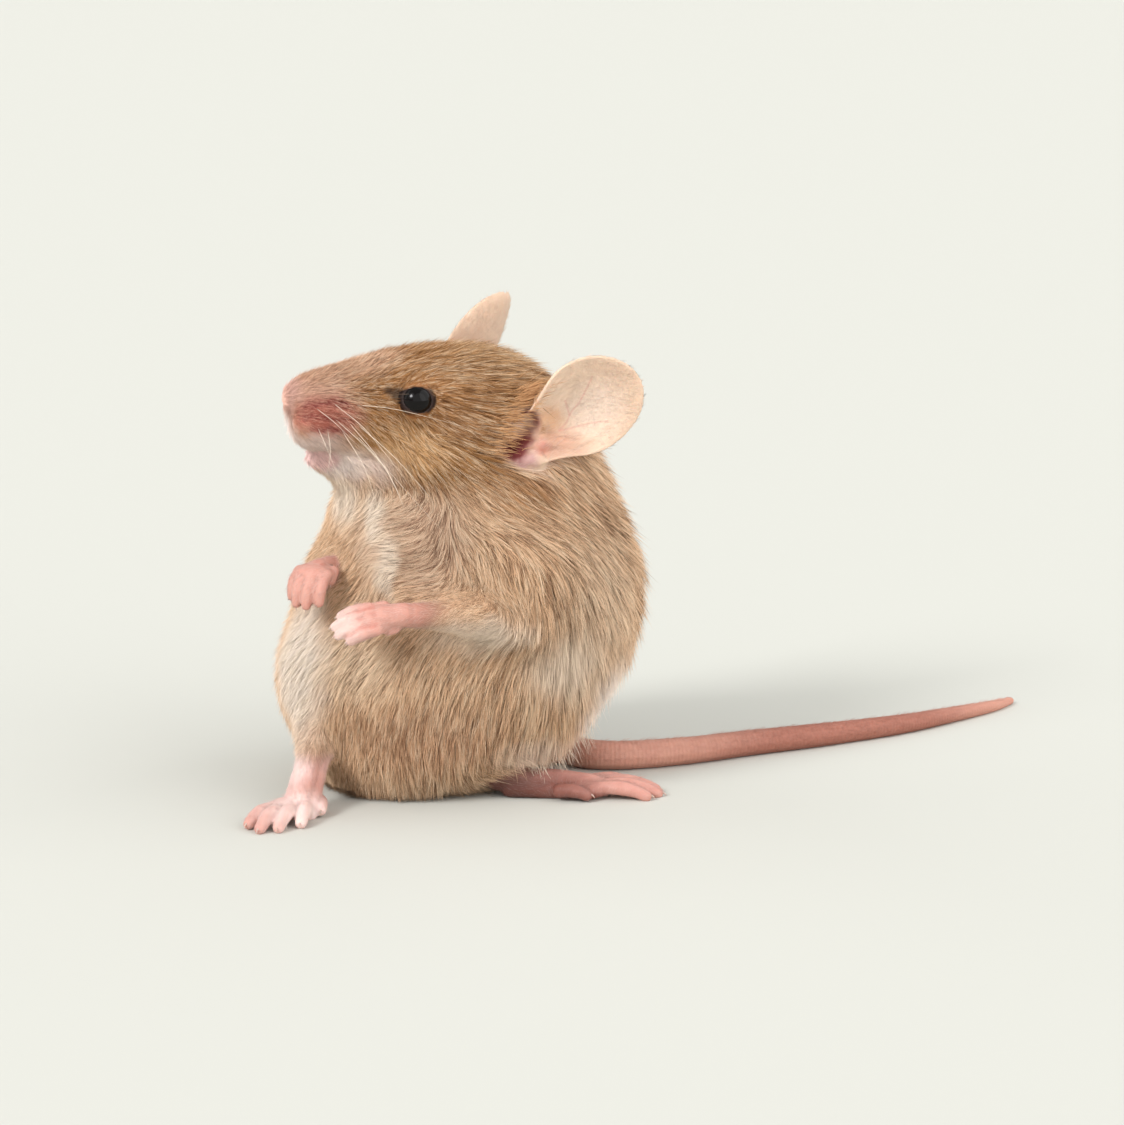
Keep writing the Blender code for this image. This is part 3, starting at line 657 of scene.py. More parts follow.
def digit(base, heading, length, radius, pitches, frame):
    """A digit in the paw's own frame, turning from one downward pitch to another, and its claw's line."""
    turn = Matrix.Rotation(math.radians(heading), 3, "Z")
    steps = 4
    points = [Vector(base)]
    for index in range(steps):
        pitch = math.radians(pitches[0] + (pitches[1] - pitches[0]) * (index + 0.5) / steps)
        step = Vector((math.cos(pitch), 0, -math.sin(pitch))) * length / steps
        points.append(points[-1] + turn @ step)
    radii = [radius * size for size in (1.05, 1.0, 1.08, 0.95, 0.86)]
    out = (points[-1] - points[-2]).normalized()
    start = points[-1] + out * radius * 0.45 + Vector((0, 0, radius * 0.35))
    claw = [start + out * radius * along + Vector((0, 0, drop * radius)) for along, drop in CLAW_LINE]
    return tube(points, radii, frame), [frame @ point for point in claw]


CLAW_LINE = ((-0.2, 0.0), (0.35, 0.08), (0.65, -0.02), (0.85, -0.22))
CLAW_SIZES = (0.12, 0.10, 0.065, 0.02)  # the claw's radii along that line


def hind_foot(frame, toe_frame, ball, side, spread, skew, hallux):
    """A hind foot: heel at frame's origin with the sole below, and toes in toe_frame from the ball on."""
    masses = [
        tube(
            ((1.0, 0, 1.9), (0.3 * ball, 0, 1.6), (0.65 * ball, 0.1 * side, 1.4), (ball, 0, 1.15)),
            (1.25, 1.3, 1.3, 1.1),
            frame,
        ),
        ellipsoid((0, 0, 0.98), (2.2, 2.3, 0.98), frame=toe_frame),
    ]
    for edge in (1, -1):
        masses.append(tube(((2.6, 0.5 * edge, 0.95), (ball, 0.9 * edge, 0.85)), (0.95, 0.9), frame))
    claws = []
    toe = FOOT_LENGTH - ball
    for start, length, across, heading in (
        (hallux, 0.42, -2.0, -1.8),
        (0.0, 0.80, -1.45, -0.8),
        (0.5, 0.90, -0.45, -0.1),
        (0.5, 0.88, 0.6, 0.5),
        (-0.5, 0.74, 1.6, 1.2),
    ):
        base = (start + skew * across, across * side, TOE_RADIUS + 0.35)
        mass, claw = digit(base, heading * spread * side, length * toe, TOE_RADIUS, (-14, 28), toe_frame)
        masses.append(mass)
        claws.append(claw)
    return masses, claws


def forepaw(frame, side, width, spread, pitches):
    """A forepaw: wrist at the origin, +X to the fingers and the back of the paw to +Z."""
    masses = [
        tube(((-0.6, 0, 0), (0.4, 0, 0), (1.4, 0, 0.05)), (1.15, 1.15, 1.2), frame),
        ellipsoid((1.9, 0, -0.05), (1.7, 1.7 * width, 1.0), frame=frame),
        ellipsoid((0.7, 0.8 * side, -0.7), (1.0, 0.7, 0.6), frame=frame),
    ]
    claws = []
    for start, share, across, heading in (
        (0.9, 0.30, -1.2, -2.0),
        (2.3, 0.90, -1.35, -0.9),
        (2.7, 1.00, -0.45, -0.2),
        (2.6, 0.97, 0.5, 0.5),
        (2.0, 0.84, 1.35, 1.2),
    ):
        base = (start, across * side * width, 0.1)
        length = share * FINGER_LENGTH
        mass, claw = digit(base, heading * spread * side, length, FINGER_RADIUS, pitches, frame)
        masses.append(mass)
        claws.append(claw)
    return masses, claws


TAIL_PATH = (  # X, Y and radius from the rump to the tip, on the floor
    (-5.0, 15.5, 2.1),
    (-2.0, 20.2, 2.0),
    (3.6, 20.6, 1.85),
    (8.6, 16.4, 1.65),
    (14.0, 13.0, 1.5),
    (21.5, 14.7, 1.42),
    (29.3, 18.7, 1.33),
    (37.5, 22.8, 1.22),
    (45.7, 27.7, 1.05),
    (52.0, 33.0, 0.84),
    (56.8, 37.6, 0.64),
    (59.2, 41.0, 0.42),
)
TAIL_PRESS = 0.08  # how far its weight flattens it on the floor
TAIL_LINE = [Vector((p.x, p.y, p.z - TAIL_PRESS)) for p in smooth_path([Vector(p) for p in TAIL_PATH])]

FLESH_KINDS = ("ear", "foot", "paw", "tail")
FLESH = ("head", "neck", "trunk", "foreleg_left", "foreleg_right", "hind_leg_left", "hind_leg_right")


def coat_depth(places):
    """How deep the coat is over each place, in mm."""
    head = in_head(places)
    depth = COAT_DEPTH * (0.48 + 0.52 * ramp(-head[:, 0], 12.0, 30.0))
    depth *= 0.38 + 0.62 * ramp(distance(head, (0.0, 0.0, -1.0)), 3.5, 15.0)
    for centre, bare, full in (
        (EYES[0], 1.7, 2.7),
        (EYES[1], 1.7, 2.7),
        (RIGHT_HEEL.lerp(RIGHT_BALL, 0.7), 2.5, 6.5),
        (LEFT_HEEL + Vector((4.0, 0, 0)), 2.5, 6.0),
        (LEFT_HEEL + Vector((9.0, 0, 0)), 2.5, 6.0),
    ):
        depth *= 0.12 + 0.88 * ramp(distance(places, centre), bare, full)
    for (elbow, wrist), bare, full in zip(ARMS, (2.2, 1.6), (5.5, 4.0)):
        depth *= 0.14 + 0.86 * ramp(to_line(places, wrist, wrist.lerp(elbow, 0.5)), bare, full)
    return depth


GROWTH = 0.3  # how far the solids swell, so that they meet


def furred_body():
    """The furred flesh as one surface, inside the solids by the coat's depth."""
    shape = bmesh.new()
    for name in FLESH:
        shape.from_mesh(frame["nodes"][name].data)
    shape.transform(TO_MODEL.inverted())
    bmesh.ops.remove_doubles(shape, verts=shape.verts, dist=0.01)
    shape.normal_update()
    for vert in shape.verts:
        vert.co += vert.normal * GROWTH
    body = from_bmesh("body", shape)
    sockets = [ellipsoid(mirrored(EYE_PLACE, side), (SOCKET,) * 3, HEAD) for side in (1, -1)]
    body = fused([body, *sockets], BODY_VOXEL, smoothing=9)
    places = points_of(body.data)
    normals = points_of(body.data, "normal")
    places -= normals * (GROWTH + coat_depth(places))[:, None]
    set_points(body.data, places)
    return body


LOBE_FOLD = (  # the rolled lower edge of the left ear, in the head's frame
    (-22.3, 6.8, -0.3),
    (-23.7, 6.4, 0.25),
    (-25.8, 5.5, 0.3),
    (-28.0, 5.6, 0.55),
    (-30.2, 5.6, 1.7),
)


def skin_mesh():
    """The whole skin, the shape of each kind of bare flesh in it, and the lines of all the claws."""
    ears = [
        ear((-22.7, 6.45, 0.15), (-32.6, 7.2, 8.35), (0.24, 0.93, -0.3), (118, 14), 1.2, (0.7, 0.2)),
        ear((-18.85, -7.3, -1.3), (-21.5, -7.4, 11.55), (0.8, -0.6, 0.04), (88, 39), -0.3, (0.0, 0.0)),
        tube(LOBE_FOLD, (0.35, 0.62, 0.85, 0.8, 0.35), HEAD),
        ellipsoid((-23.7, 6.8, -1.1), (1.6, 0.85, 0.9), HEAD),
    ]
    left_heel = limb_frame(LEFT_HEEL, (1, -0.02, 0), (0, 0, 1))
    left_ball = limb_frame(LEFT_HEEL + Vector((BALL_REACH, 0, 0)), (1, 0.02, 0), (0, 0, 1))
    right_heel = limb_frame(RIGHT_HEEL, RIGHT_BALL - RIGHT_HEEL, (0, -0.5, 1))
    right_ball = limb_frame(RIGHT_BALL + Vector((-0.9, -0.6, 0)), (-0.25, -1, 0), (0, 0, 1))
    reach = (RIGHT_BALL - RIGHT_HEEL).length
    claws, feet, paws = [], [], []
    for kind, (masses, lines) in (
        (feet, hind_foot(left_heel, left_ball, BALL_REACH, 1, 6, 0.0, -3.4)),
        (feet, hind_foot(right_heel, right_ball, reach, -1, 11, 0.8, -1.4)),
        (paws, forepaw(LEFT_PAW, 1, 0.9, 4, (-5, 38))),
        (paws, forepaw(RIGHT_PAW, -1, 1.22, 2, (30, 88))),
    ):
        kind += masses
        claws += lines
    for elbow, wrist in ARMS:
        forearm = [wrist.lerp(elbow, share) for share in (0, 0.25, 0.5, 0.8)]
        paws.append(tube(forearm, (1.1, 1.25, 1.5, 1.6)))
    tail = [tube([(p.x, p.y, p.z) for p in TAIL_LINE], [p.z + TAIL_PRESS for p in TAIL_LINE])]
    shapes = {kind: surface_tree(masses) for kind, masses in zip(FLESH_KINDS, (ears, feet, paws, tail))}
    return fused([furred_body(), *ears, *feet, *paws, *tail], SKIN_VOXEL, smoothing=4), shapes, claws


def surface_tree(masses):
    """The surfaces of several masses, to be asked for their nearest points."""
    shape = bmesh.new()
    for mass in masses:
        shape.from_mesh(mass.data)
    tree = BVHTree.FromBMesh(shape)
    shape.free()
    return tree


def nearest(tree, places):
    """The surface's nearest points to the places, its normals there, and how far they are."""
    found = [tree.find_nearest(place) for place in places.tolist()]
    points, normals, _, away = zip(*found)
    return np.array(points), np.array(normals), np.array(away)


def eyelids(places):
    """The skin round each eye drawn over the eyeball, with a rim at the opening."""
    for side in (1, -1):
        centre = HEAD @ mirrored(EYE_PLACE, side)
        outward = (HEAD.to_3x3() @ Vector((0.10, 0.93 * side, 0.30))).normalized()
        upward = (HEAD.to_3x3() @ Vector((-0.2, -0.25 * side, 0.95))).normalized()
        offset = places - np.array(centre)
        away = np.linalg.norm(offset, axis=1)
        close = away < 2 * SOCKET
        heading = unit(offset[close])
        angle = np.degrees(np.arccos(np.clip(heading @ np.array(outward), -1, 1)))
        flatter = (heading @ np.array(upward)) ** 2 / np.maximum(np.sin(np.radians(angle)), 0.1) ** 2
        angle *= 1 + 0.2 * flatter
        lid = EYE_RADIUS + LID_GAP
        radius = away[close]
        inside = 1 - ramp(angle, LID_OPENING - 5, LID_OPENING + 4)
        over = ramp(angle, LID_OPENING - 2, LID_OPENING + 6)
        over *= 1 - ramp(angle, LID_OPENING + 14, LID_OPENING + 55)
        radius = radius + (np.maximum(radius, lid) - radius) * over
        radius = radius + (lid - radius) * over * (radius < lid + 0.6) * 0.8
        radius = radius * (1 - inside) + (EYE_RADIUS - 0.45) * inside
        places[close] = np.array(centre) + heading * radius[:, None]
    return places


# On the left, in the head's frame.
NOSTRIL = ((0.35, 0.75, -0.15), (-0.75, 1.45, -0.05))
LIP_LINE = ((-1.6, 0.0, -3.9), (-3.6, 1.5, -4.3), (-6.4, 2.5, -4.2), (-9.0, 3.1, -3.7))


def muzzle(places, normals):
    """Nostrils, the cleft between them and the line of the mouth, pressed into the skin."""
    head = in_head(places)
    press = np.zeros(len(places))
    for side in (1, -1):
        nostril, lips = ([(x, y * side, z) for x, y, z in line] for line in (NOSTRIL, LIP_LINE))
        press += 0.3 * (1 - ramp(to_line(head, *nostril), 0.1, 0.5))
        for a, b in zip(lips, lips[1:]):
            press = np.maximum(press, 0.45 * (1 - ramp(to_line(head, a, b), 0.05, 0.55)))
    cleft = to_line(head, (0.4, 0.0, -0.6), (-1.4, 0.0, -3.9))
    press = np.maximum(press, 0.25 * (1 - ramp(cleft, 0.05, 0.45)))
    return places - normals * press[:, None]


CANAL_DEPTH = 1.5


def canal(places):
    """The ear's canal, pressed into the head behind the cheek."""
    depth = CANAL_DEPTH * (1 - ramp(to_line(places, *CANAL), 0.4, 1.5))
    inward = HEAD.to_3x3() @ Vector((0.15, -1.0, 0.0)).normalized()
    return places + np.array(inward) * depth[:, None]


# Where the bare flesh gives way to the coat.
FLESH_EDGE = (0.12, 0.55)  # off its own surface
FOOT_TOP = (4.4, 6.6)  # over the floor
ARM_FADE = (0.1, 0.62)  # as shares of the way from the wrist to the elbow


def make_skin():
    """The skin in the model's frame, the ears' surface and the lines of the claws."""
    skin, shapes, claws = skin_mesh()
    places = points_of(skin.data)
    for kind, tree in shapes.items():
        share = 1 - ramp(nearest(tree, places)[2], *FLESH_EDGE)
        if kind == "ear":
            share = np.maximum(share, 1 - ramp(to_line(places, *CANAL), 1.5, 2.1))
        if kind == "foot":
            share *= 1 - 0.9 * ramp(places[:, 2], *FOOT_TOP)
        if kind == "paw":
            for elbow, wrist in ARMS:
                arm = np.array(elbow - wrist)
                along = (places - np.array(wrist)) @ arm / (arm @ arm)
                share *= 1 - 0.8 * ramp(along, *ARM_FADE)
        keep(skin.data, kind, share)
        if kind == "tail":
            on_tail = np.flatnonzero(share > 0)
            passed = np.zeros(len(places))
            passed[on_tail] = along_tail(places[on_tail])[1]
            keep(skin.data, "passed", passed)
    places = muzzle(places, points_of(skin.data, "normal"))
    places = canal(places)
    places = eyelids(places)
    places[:, 2] = np.maximum(places[:, 2], 0.0)
    set_points(skin.data, places)
    skin = thinned(skin, SKIN_TRIANGLES)
    skin.data.transform(TO_MODEL)
    skin.data.shade_smooth()
    skin.name = "skin"
    skin.data.name = "skin"
    return skin, shapes["ear"], claws


# ---------------------------------------------------------------------------------------------------- coat
# Strokes of the comb: a place near the surface and the way the hairs lie there.
COMB = (
    # Front, from the breast to the seat.
    ((-5.8, -3.0, 24.8), (-1.0, 0.0, 0.12)),
    ((-3.0, -4.0, 23.4), (-1.0, 0.0, -0.15)),
    ((-5.0, -3.0, 28.4), (-0.8, 0.0, -0.2)),
    ((-1.8, -3.4, 29.6), (-0.3, 0.0, -0.6)),
    ((-7.8, -4.0, 28.0), (-0.1, 0.0, -1.0)),
    ((-7.6, -4.0, 23.0), (0.1, 0.0, -1.0)),
    ((-11.2, 0.0, 28.6), (-1.0, -0.2, -0.35)),
    ((-12.4, 1.0, 25.4), (-0.8, -0.3, -0.7)),
    ((1.0, -4.5, 25.0), (0.35, 0.0, -1.0)),
    ((3.9, -5.5, 21.6), (0.22, 0.0, -1.0)),
    ((1.9, -3.5, 28.2), (0.8, 0.0, -0.6)),
    ((7.8, -2.0, 30.5), (0.65, 0.0, -0.8)),
    ((8.2, -5.0, 18.6), (-0.1, 0.0, -1.0)),
    ((5.8, -7.5, 16.6), (-0.7, 0.0, -0.8)),
    ((0.5, -7.5, 16.0), (-0.5, 0.0, -0.8)),
    ((-14.6, -2.0, 16.0), (-0.7, -0.1, -0.75)),
    ((-9.0, -5.5, 15.0), (-0.6, 0.0, -0.8)),
    ((-14.8, -1.5, 10.4), (-0.4, 0.0, -0.9)),
    ((-13.6, 0.0, 5.0), (0.0, -0.1, -1.0)),
    ((-3.9, -6.5, 12.0), (-0.25, 0.0, -1.0)),
    ((-9.0, -5.5, 8.0), (-0.15, 0.0, -1.0)),
    ((-5.8, -4.0, 3.6), (0.15, 0.3, -1.0)),
    ((3.9, -6.5, 11.0), (-0.2, 0.0, -1.0)),
    ((6.8, -4.5, 6.0), (-0.4, 0.0, -0.9)),
    ((0.5, -4.5, 3.0), (-0.1, 0.2, -1.0)),
    # The left side and the back.
    ((12.6, 2.0, 31.0), (0.45, 0.1, -0.9)),
    ((15.6, 6.0, 23.0), (0.2, 0.1, -1.0)),
    ((14.2, 2.0, 16.5), (-0.05, 0.0, -1.0)),
    ((12.6, 3.0, 9.4), (-0.25, 0.2, -1.0)),
    ((9.6, 6.0, 3.4), (-0.3, 0.3, -0.9)),
    ((10.0, 20.0, 26.0), (0.3, 0.4, -0.9)),
    ((12.0, 18.0, 17.0), (0.1, 0.15, -1.0)),
    ((3.0, 24.0, 18.0), (0.0, 0.2, -1.0)),
    ((-9.0, 20.0, 18.0), (-0.1, 0.1, -1.0)),
    ((-3.0, 20.0, 6.0), (0.05, 0.5, -0.9)),
    ((-14.0, 12.0, 22.0), (-0.3, 0.1, -0.9)),
    ((-16.0, 8.0, 13.0), (-0.1, 0.0, -1.0)),
    ((-6.0, 15.0, 27.0), (-0.2, 0.4, -0.9)),
    ((4.0, 17.0, 32.0), (0.4, 0.6, -0.7)),
    # The limbs.
    ((-10.4, 3.0, 21.6), (-0.5, -0.7, 0.0)),
    ((-12.4, -0.4, 23.3), (-0.7, -0.5, -0.3)),
    ((3.0, -6.4, 19.4), (-1.0, -0.3, 0.05)),
    ((-4.8, -8.8, 20.0), (-1.0, -0.15, -0.14)),
    ((-14.4, -1.4, 4.0), (-0.2, -0.3, -1.0)),
    ((4.0, 1.0, 1.6), (1.0, -0.1, -0.1)),
)
# The same on the head, in its own frame, with the mouse's left at +Y; the right side mirrors them.
HEAD_COMB = (
    ((-1.0, 1.0, 1.0), (-1.0, 0.15, 0.35)),
    ((-4.0, 2.6, 0.0), (-1.0, 0.2, -0.05)),
    ((-3.0, 2.0, -3.0), (-0.8, 0.1, -0.6)),
    ((-6.0, 1.0, 5.0), (-1.0, 0.05, 0.2)),
    ((-8.0, 3.6, -2.4), (-1.0, 0.3, -0.5)),
    ((-9.0, 1.0, -6.6), (-1.0, 0.1, -0.2)),
    ((-10.0, 3.6, 3.8), (-1.0, 0.3, 0.3)),
    ((-13.0, 4.8, -2.4), (-1.0, 0.2, -0.55)),
    ((-15.0, 5.6, 1.6), (-1.0, 0.2, -0.25)),
    ((-14.0, 1.0, 7.6), (-1.0, 0.05, 0.1)),
    ((-17.0, 7.6, -4.0), (-1.0, 0.1, -0.6)),
    ((-16.0, 4.0, -8.0), (-1.0, 0.1, -0.6)),
    ((-20.0, 7.2, 1.0), (-1.0, 0.3, 0.05)),
    ((-20.0, 3.0, 7.8), (-1.0, 0.1, -0.1)),
    ((-23.0, 7.6, -4.0), (-0.9, 0.0, -0.8)),
    ((-25.0, 2.0, 6.4), (-1.0, 0.0, -0.5)),
)
EAR_WAY = ((-0.75, 0.05, 0.65), (-0.2, 0.0, 1.0))


def comb_strokes():
    """All strokes in the bench frame: places and unit headings."""
    strokes = list(COMB)
    turn = HEAD.to_3x3()
    for place, way in HEAD_COMB:
        for side in (1, -1):
            strokes.append((HEAD @ mirrored(place, side), turn @ mirrored(way, side)))
    places, ways = (np.array([tuple(stroke[i]) for stroke in strokes]) for i in (0, 1))
    return places, ways / np.linalg.norm(ways, axis=1)[:, None]


def combed(places):
    """The way that the hairs lie at each place, blended from the nearest strokes."""
    strokes, ways = comb_strokes()
    weight = 1 / (np.maximum(squares_between(places, strokes), 0) + 1.5) ** 2
    way = unit(weight @ ways / weight.sum(1)[:, None])
    for eye in EYES:
        off = places - np.array(eye)
        parting = 1 - ramp(np.linalg.norm(off, axis=1), 1.7, 4.0)
        way = unit(way + 0.8 * unit(off) * parting[:, None])
    return way


def along_tail(places):
    """The tail's heading at each place, and how far along the tail it is."""
    line = np.array([(p.x, p.y, p.z) for p in TAIL_LINE])
    step = unit(np.gradient(line, axis=0))
    passed = np.append(0, np.cumsum(np.linalg.norm(np.diff(line, axis=0), axis=1)))
    close = squares_between(places, line).argmin(1)
    return step[close], passed[close] + ((places - line[close]) * step[close]).sum(1)


def scattered(mesh, wanted, count, chance):
    """Roots spread over a mesh, as many in each place as wanted says: triangle corners and their shares."""
    mesh.calc_loop_triangles()
    corners = np.zeros(len(mesh.loop_triangles) * 3, np.int32)
    mesh.loop_triangles.foreach_get("vertices", corners)
    corners = corners.reshape(-1, 3)
    places = points_of(mesh)
    a, b, c = (places[corners[:, i]] for i in range(3))
    area = np.linalg.norm(np.cross(b - a, c - a), axis=1) / 2
    weight = np.cumsum(area * wanted[corners].mean(1))
    step = weight[-1] / count
    marks = (np.arange(count) + chance.random(count)) * step
    chosen = corners[np.minimum(np.searchsorted(weight, marks), len(corners) - 1)]
    shares = chance.random((count, 2))
    over = shares.sum(1) > 1
    shares[over] = 1 - shares[over]
    shares = np.column_stack((1 - shares.sum(1), shares))
    return chosen, shares


def blended(values, chosen, shares):
    """A value of the mesh's points, at roots between them."""
    picked = values[chosen]
    return (picked * shares[:, :, None]).sum(1) if picked.ndim == 3 else (picked * shares).sum(1)


def tangent(ways, normals):
    return unit(ways - normals * (ways * normals).sum(1)[:, None])


# One tuft: a slender spike of three sides, closed at its root, through left, right, top and tip points.
SPIKE = np.array([(0, 1, 2), (0, 3, 1), (1, 3, 2), (2, 3, 0)])
SPIKE_REACH = np.array((0, 0, 0, 1))
# Where each corner of those faces lies in the tuft's own patch of the map.
SPIKE_MAP = np.array(
    [
        ((0.25, 1.0), (0.42, 1.0), (0.33, 0.5)),
        ((0.0, 0.0), (0.17, 1.0), (0.33, 0.0)),
        ((0.33, 0.0), (0.5, 1.0), (0.67, 0.0)),
        ((0.67, 0.0), (0.83, 1.0), (1.0, 0.0)),
    ]
)
PATCH = 0.003  # a tuft's patch on the map
ROUNDING = 0.45  # how far the shading turns to a spike's sides
SPIKE_RIDGE = 1.2  # its height over half its width
FLOOR_GAP = 0.01  # the least height of a tuft's points


def tuft_mesh(name, roots, tips, ups, widths, values, corners):
    """Spikes from roots to tips, with the roots' places on the map and the values that the finish reads.

    Their sides are shaded as round and nearly level with the skin under them, as a sleek coat looks.
    """
    count = len(roots)
    side = unit(np.cross(tips - roots, ups))
    top = unit(np.cross(side, tips - roots))
    normals = np.stack((unit(ups - side * ROUNDING), unit(ups + side * ROUNDING), ups, ups), axis=1)
    side, top = side * widths[:, None], top * widths[:, None] * SPIKE_RIDGE
    points = np.stack((roots - side, roots + side, roots + top, tips), axis=1)
    points[:, :, 2] = np.maximum(points[:, :, 2], FLOOR_GAP)
    triangles = (SPIKE[None] + 4 * np.arange(count)[:, None, None]).reshape(-1, 3)
    mesh = bpy.data.meshes.new(name)
    mesh.vertices.add(count * 4)
    mesh.vertices.foreach_set("co", points.astype(np.float32).ravel())
    mesh.loops.add(triangles.size)
    mesh.loops.foreach_set("vertex_index", triangles.astype(np.int32).ravel())
    mesh.polygons.add(len(triangles))
    mesh.polygons.foreach_set("loop_start", np.arange(0, triangles.size, 3, dtype=np.int32))
    mesh.update(calc_edges=True)
    mesh.shade_smooth()
    mesh.normals_split_custom_set_from_vertices(normals.reshape(-1, 3).tolist())
    values = {kind: np.repeat(value, 4) for kind, value in values.items()}
    values["reach"] = np.tile(SPIKE_REACH, count)
    for kind, value in values.items():
        keep(mesh, kind, value)
    patches = corners[:, None, None, :] + SPIKE_MAP[None] * PATCH
    layer = mesh.uv_layers.new(name="OFBake")
    layer.data.foreach_set("uv", patches.astype(np.float32).ravel())
    return mesh_object(name, mesh, TO_MODEL)


def unwrapped(shape, lowest, highest):
    """The part of a coarse skin between two heights, laid flat: its tree, its corners and their map."""
    part = bpy.data.meshes.new("part")
    band = bmesh.new()
    band.from_mesh(shape)
    far = [f for f in band.faces if not lowest - 1 <= f.calc_center_median().z <= highest + 1]
    bmesh.ops.delete(band, geom=far, context="FACES")
    bmesh.ops.triangulate(band, faces=band.faces)
    band.to_mesh(part)
    band.free()
    flat = mesh_object("flat", part)
    bpy.context.view_layer.objects.active = flat
    flat.select_set(True)
    bpy.ops.object.mode_set(mode="EDIT")
    bpy.ops.mesh.select_all(action="SELECT")
    bpy.ops.uv.smart_project(angle_limit=math.radians(66), island_margin=0.004)
    bpy.ops.object.mode_set(mode="OBJECT")
    corners = np.zeros(len(part.loops), np.int32)
    part.loops.foreach_get("vertex_index", corners)
    places = points_of(part)[corners].reshape(-1, 3, 3)
    layout = np.zeros(len(part.loops) * 2, np.float32)
    part.uv_layers.active.data.foreach_get("uv", layout)
    tree = BVHTree.FromPolygons(points_of(part).tolist(), corners.reshape(-1, 3).tolist())
    bpy.data.objects.remove(flat)
    return tree, places, layout.reshape(-1, 3, 2)


def on_map(flat, roots):
    """The places of the roots on a flat layout of the skin."""
    tree, places, layout = flat
    found = [tree.find_nearest(root) for root in roots.tolist()]
    faces = np.array([hit[2] for hit in found])
    hits = np.array([hit[0] for hit in found])
    a, b, c = (places[faces, i] for i in range(3))
    u, v, w = b - a, c - a, hits - a
    uu, uv, vv, wu, wv = ((x * y).sum(1) for x, y in ((u, u), (u, v), (v, v), (w, u), (w, v)))
    under = np.maximum(uu * vv - uv * uv, 1e-12)
    second, third = (vv * wu - uv * wv) / under, (uu * wv - uv * wu) / under
    shares = np.column_stack((1 - second - third, second, third))
    return (layout[faces] * shares[:, :, None]).sum(1) * (1 - 2 * PATCH)


OUTLINE_TRIANGLES = 14000
LOCK_STEPS = (-0.7, -0.25, 0.25, 0.7)  # a lock's seeds along the hairs' way
BARE_DEPTH = 0.10  # of the down on the ears, paws, feet and tail
DENSE_DEPTH = 0.30  # from which the coat is at its densest
ROOT_SINK = 0.04  # how far the tufts start under the skin
LOWEST_ROOT = 0.15  # over the floor
HAIR_SWING, LOCK_SWING = 5.0, 7.0  # degrees about the combed way, for one tuft and for its whole lock
GUARD_LENGTH = 1.4  # over another tuft's
GUARD_LIFT = (0.2, 0.55)  # the least, and what each millimetre of depth adds
STUBBLE_LIFT = 0.22
TIP_CLEARANCE, MIDDLE_CLEARANCE = 0.45, 0.22  # the least that a tuft stays off the ear
# A tuft's length and half its width: the least, and what each millimetre of the coat's depth adds.
TUFT_LENGTH = (0.42, 2.2)
TUFT_WIDTH = (0.020, 0.025)
COAT_NAMES = ("seat", "hips", "thighs", "belly", "chest", "shoulders", "cheeks", "crown")


def skin_depths(places, bare):
    """The coat's depth over skin places, and how much of it grows there."""
    depth = coat_depth(places) * (1 - bare) + BARE_DEPTH * bare
    cover = (0.6 + 0.4 * ramp(depth, BARE_DEPTH, DENSE_DEPTH)) * (1 - 0.9 * bare)
    for eye in EYES:
        cover *= ramp(distance(places, eye), 1.66, 1.78)
    head = in_head(places)
    cover *= ramp(distance(head, (0.2, 0.0, -0.1)), 0.5, 1.4)
    cover *= ramp(to_line(places, *CANAL), 1.2, 1.8 + 0.8 * bare)
    for row in PAD_ROWS:
        for a, b in zip(row, row[1:]):
            cover *= 0.5 + 0.5 * ramp(to_line(head, a, b), 0.1, 0.45)
    return depth, cover


def on_bench(skin):
    """A copy of the skin's mesh in the bench frame."""
    mesh = skin.data.copy()
    mesh.transform(TO_MODEL.inverted())
    return mesh


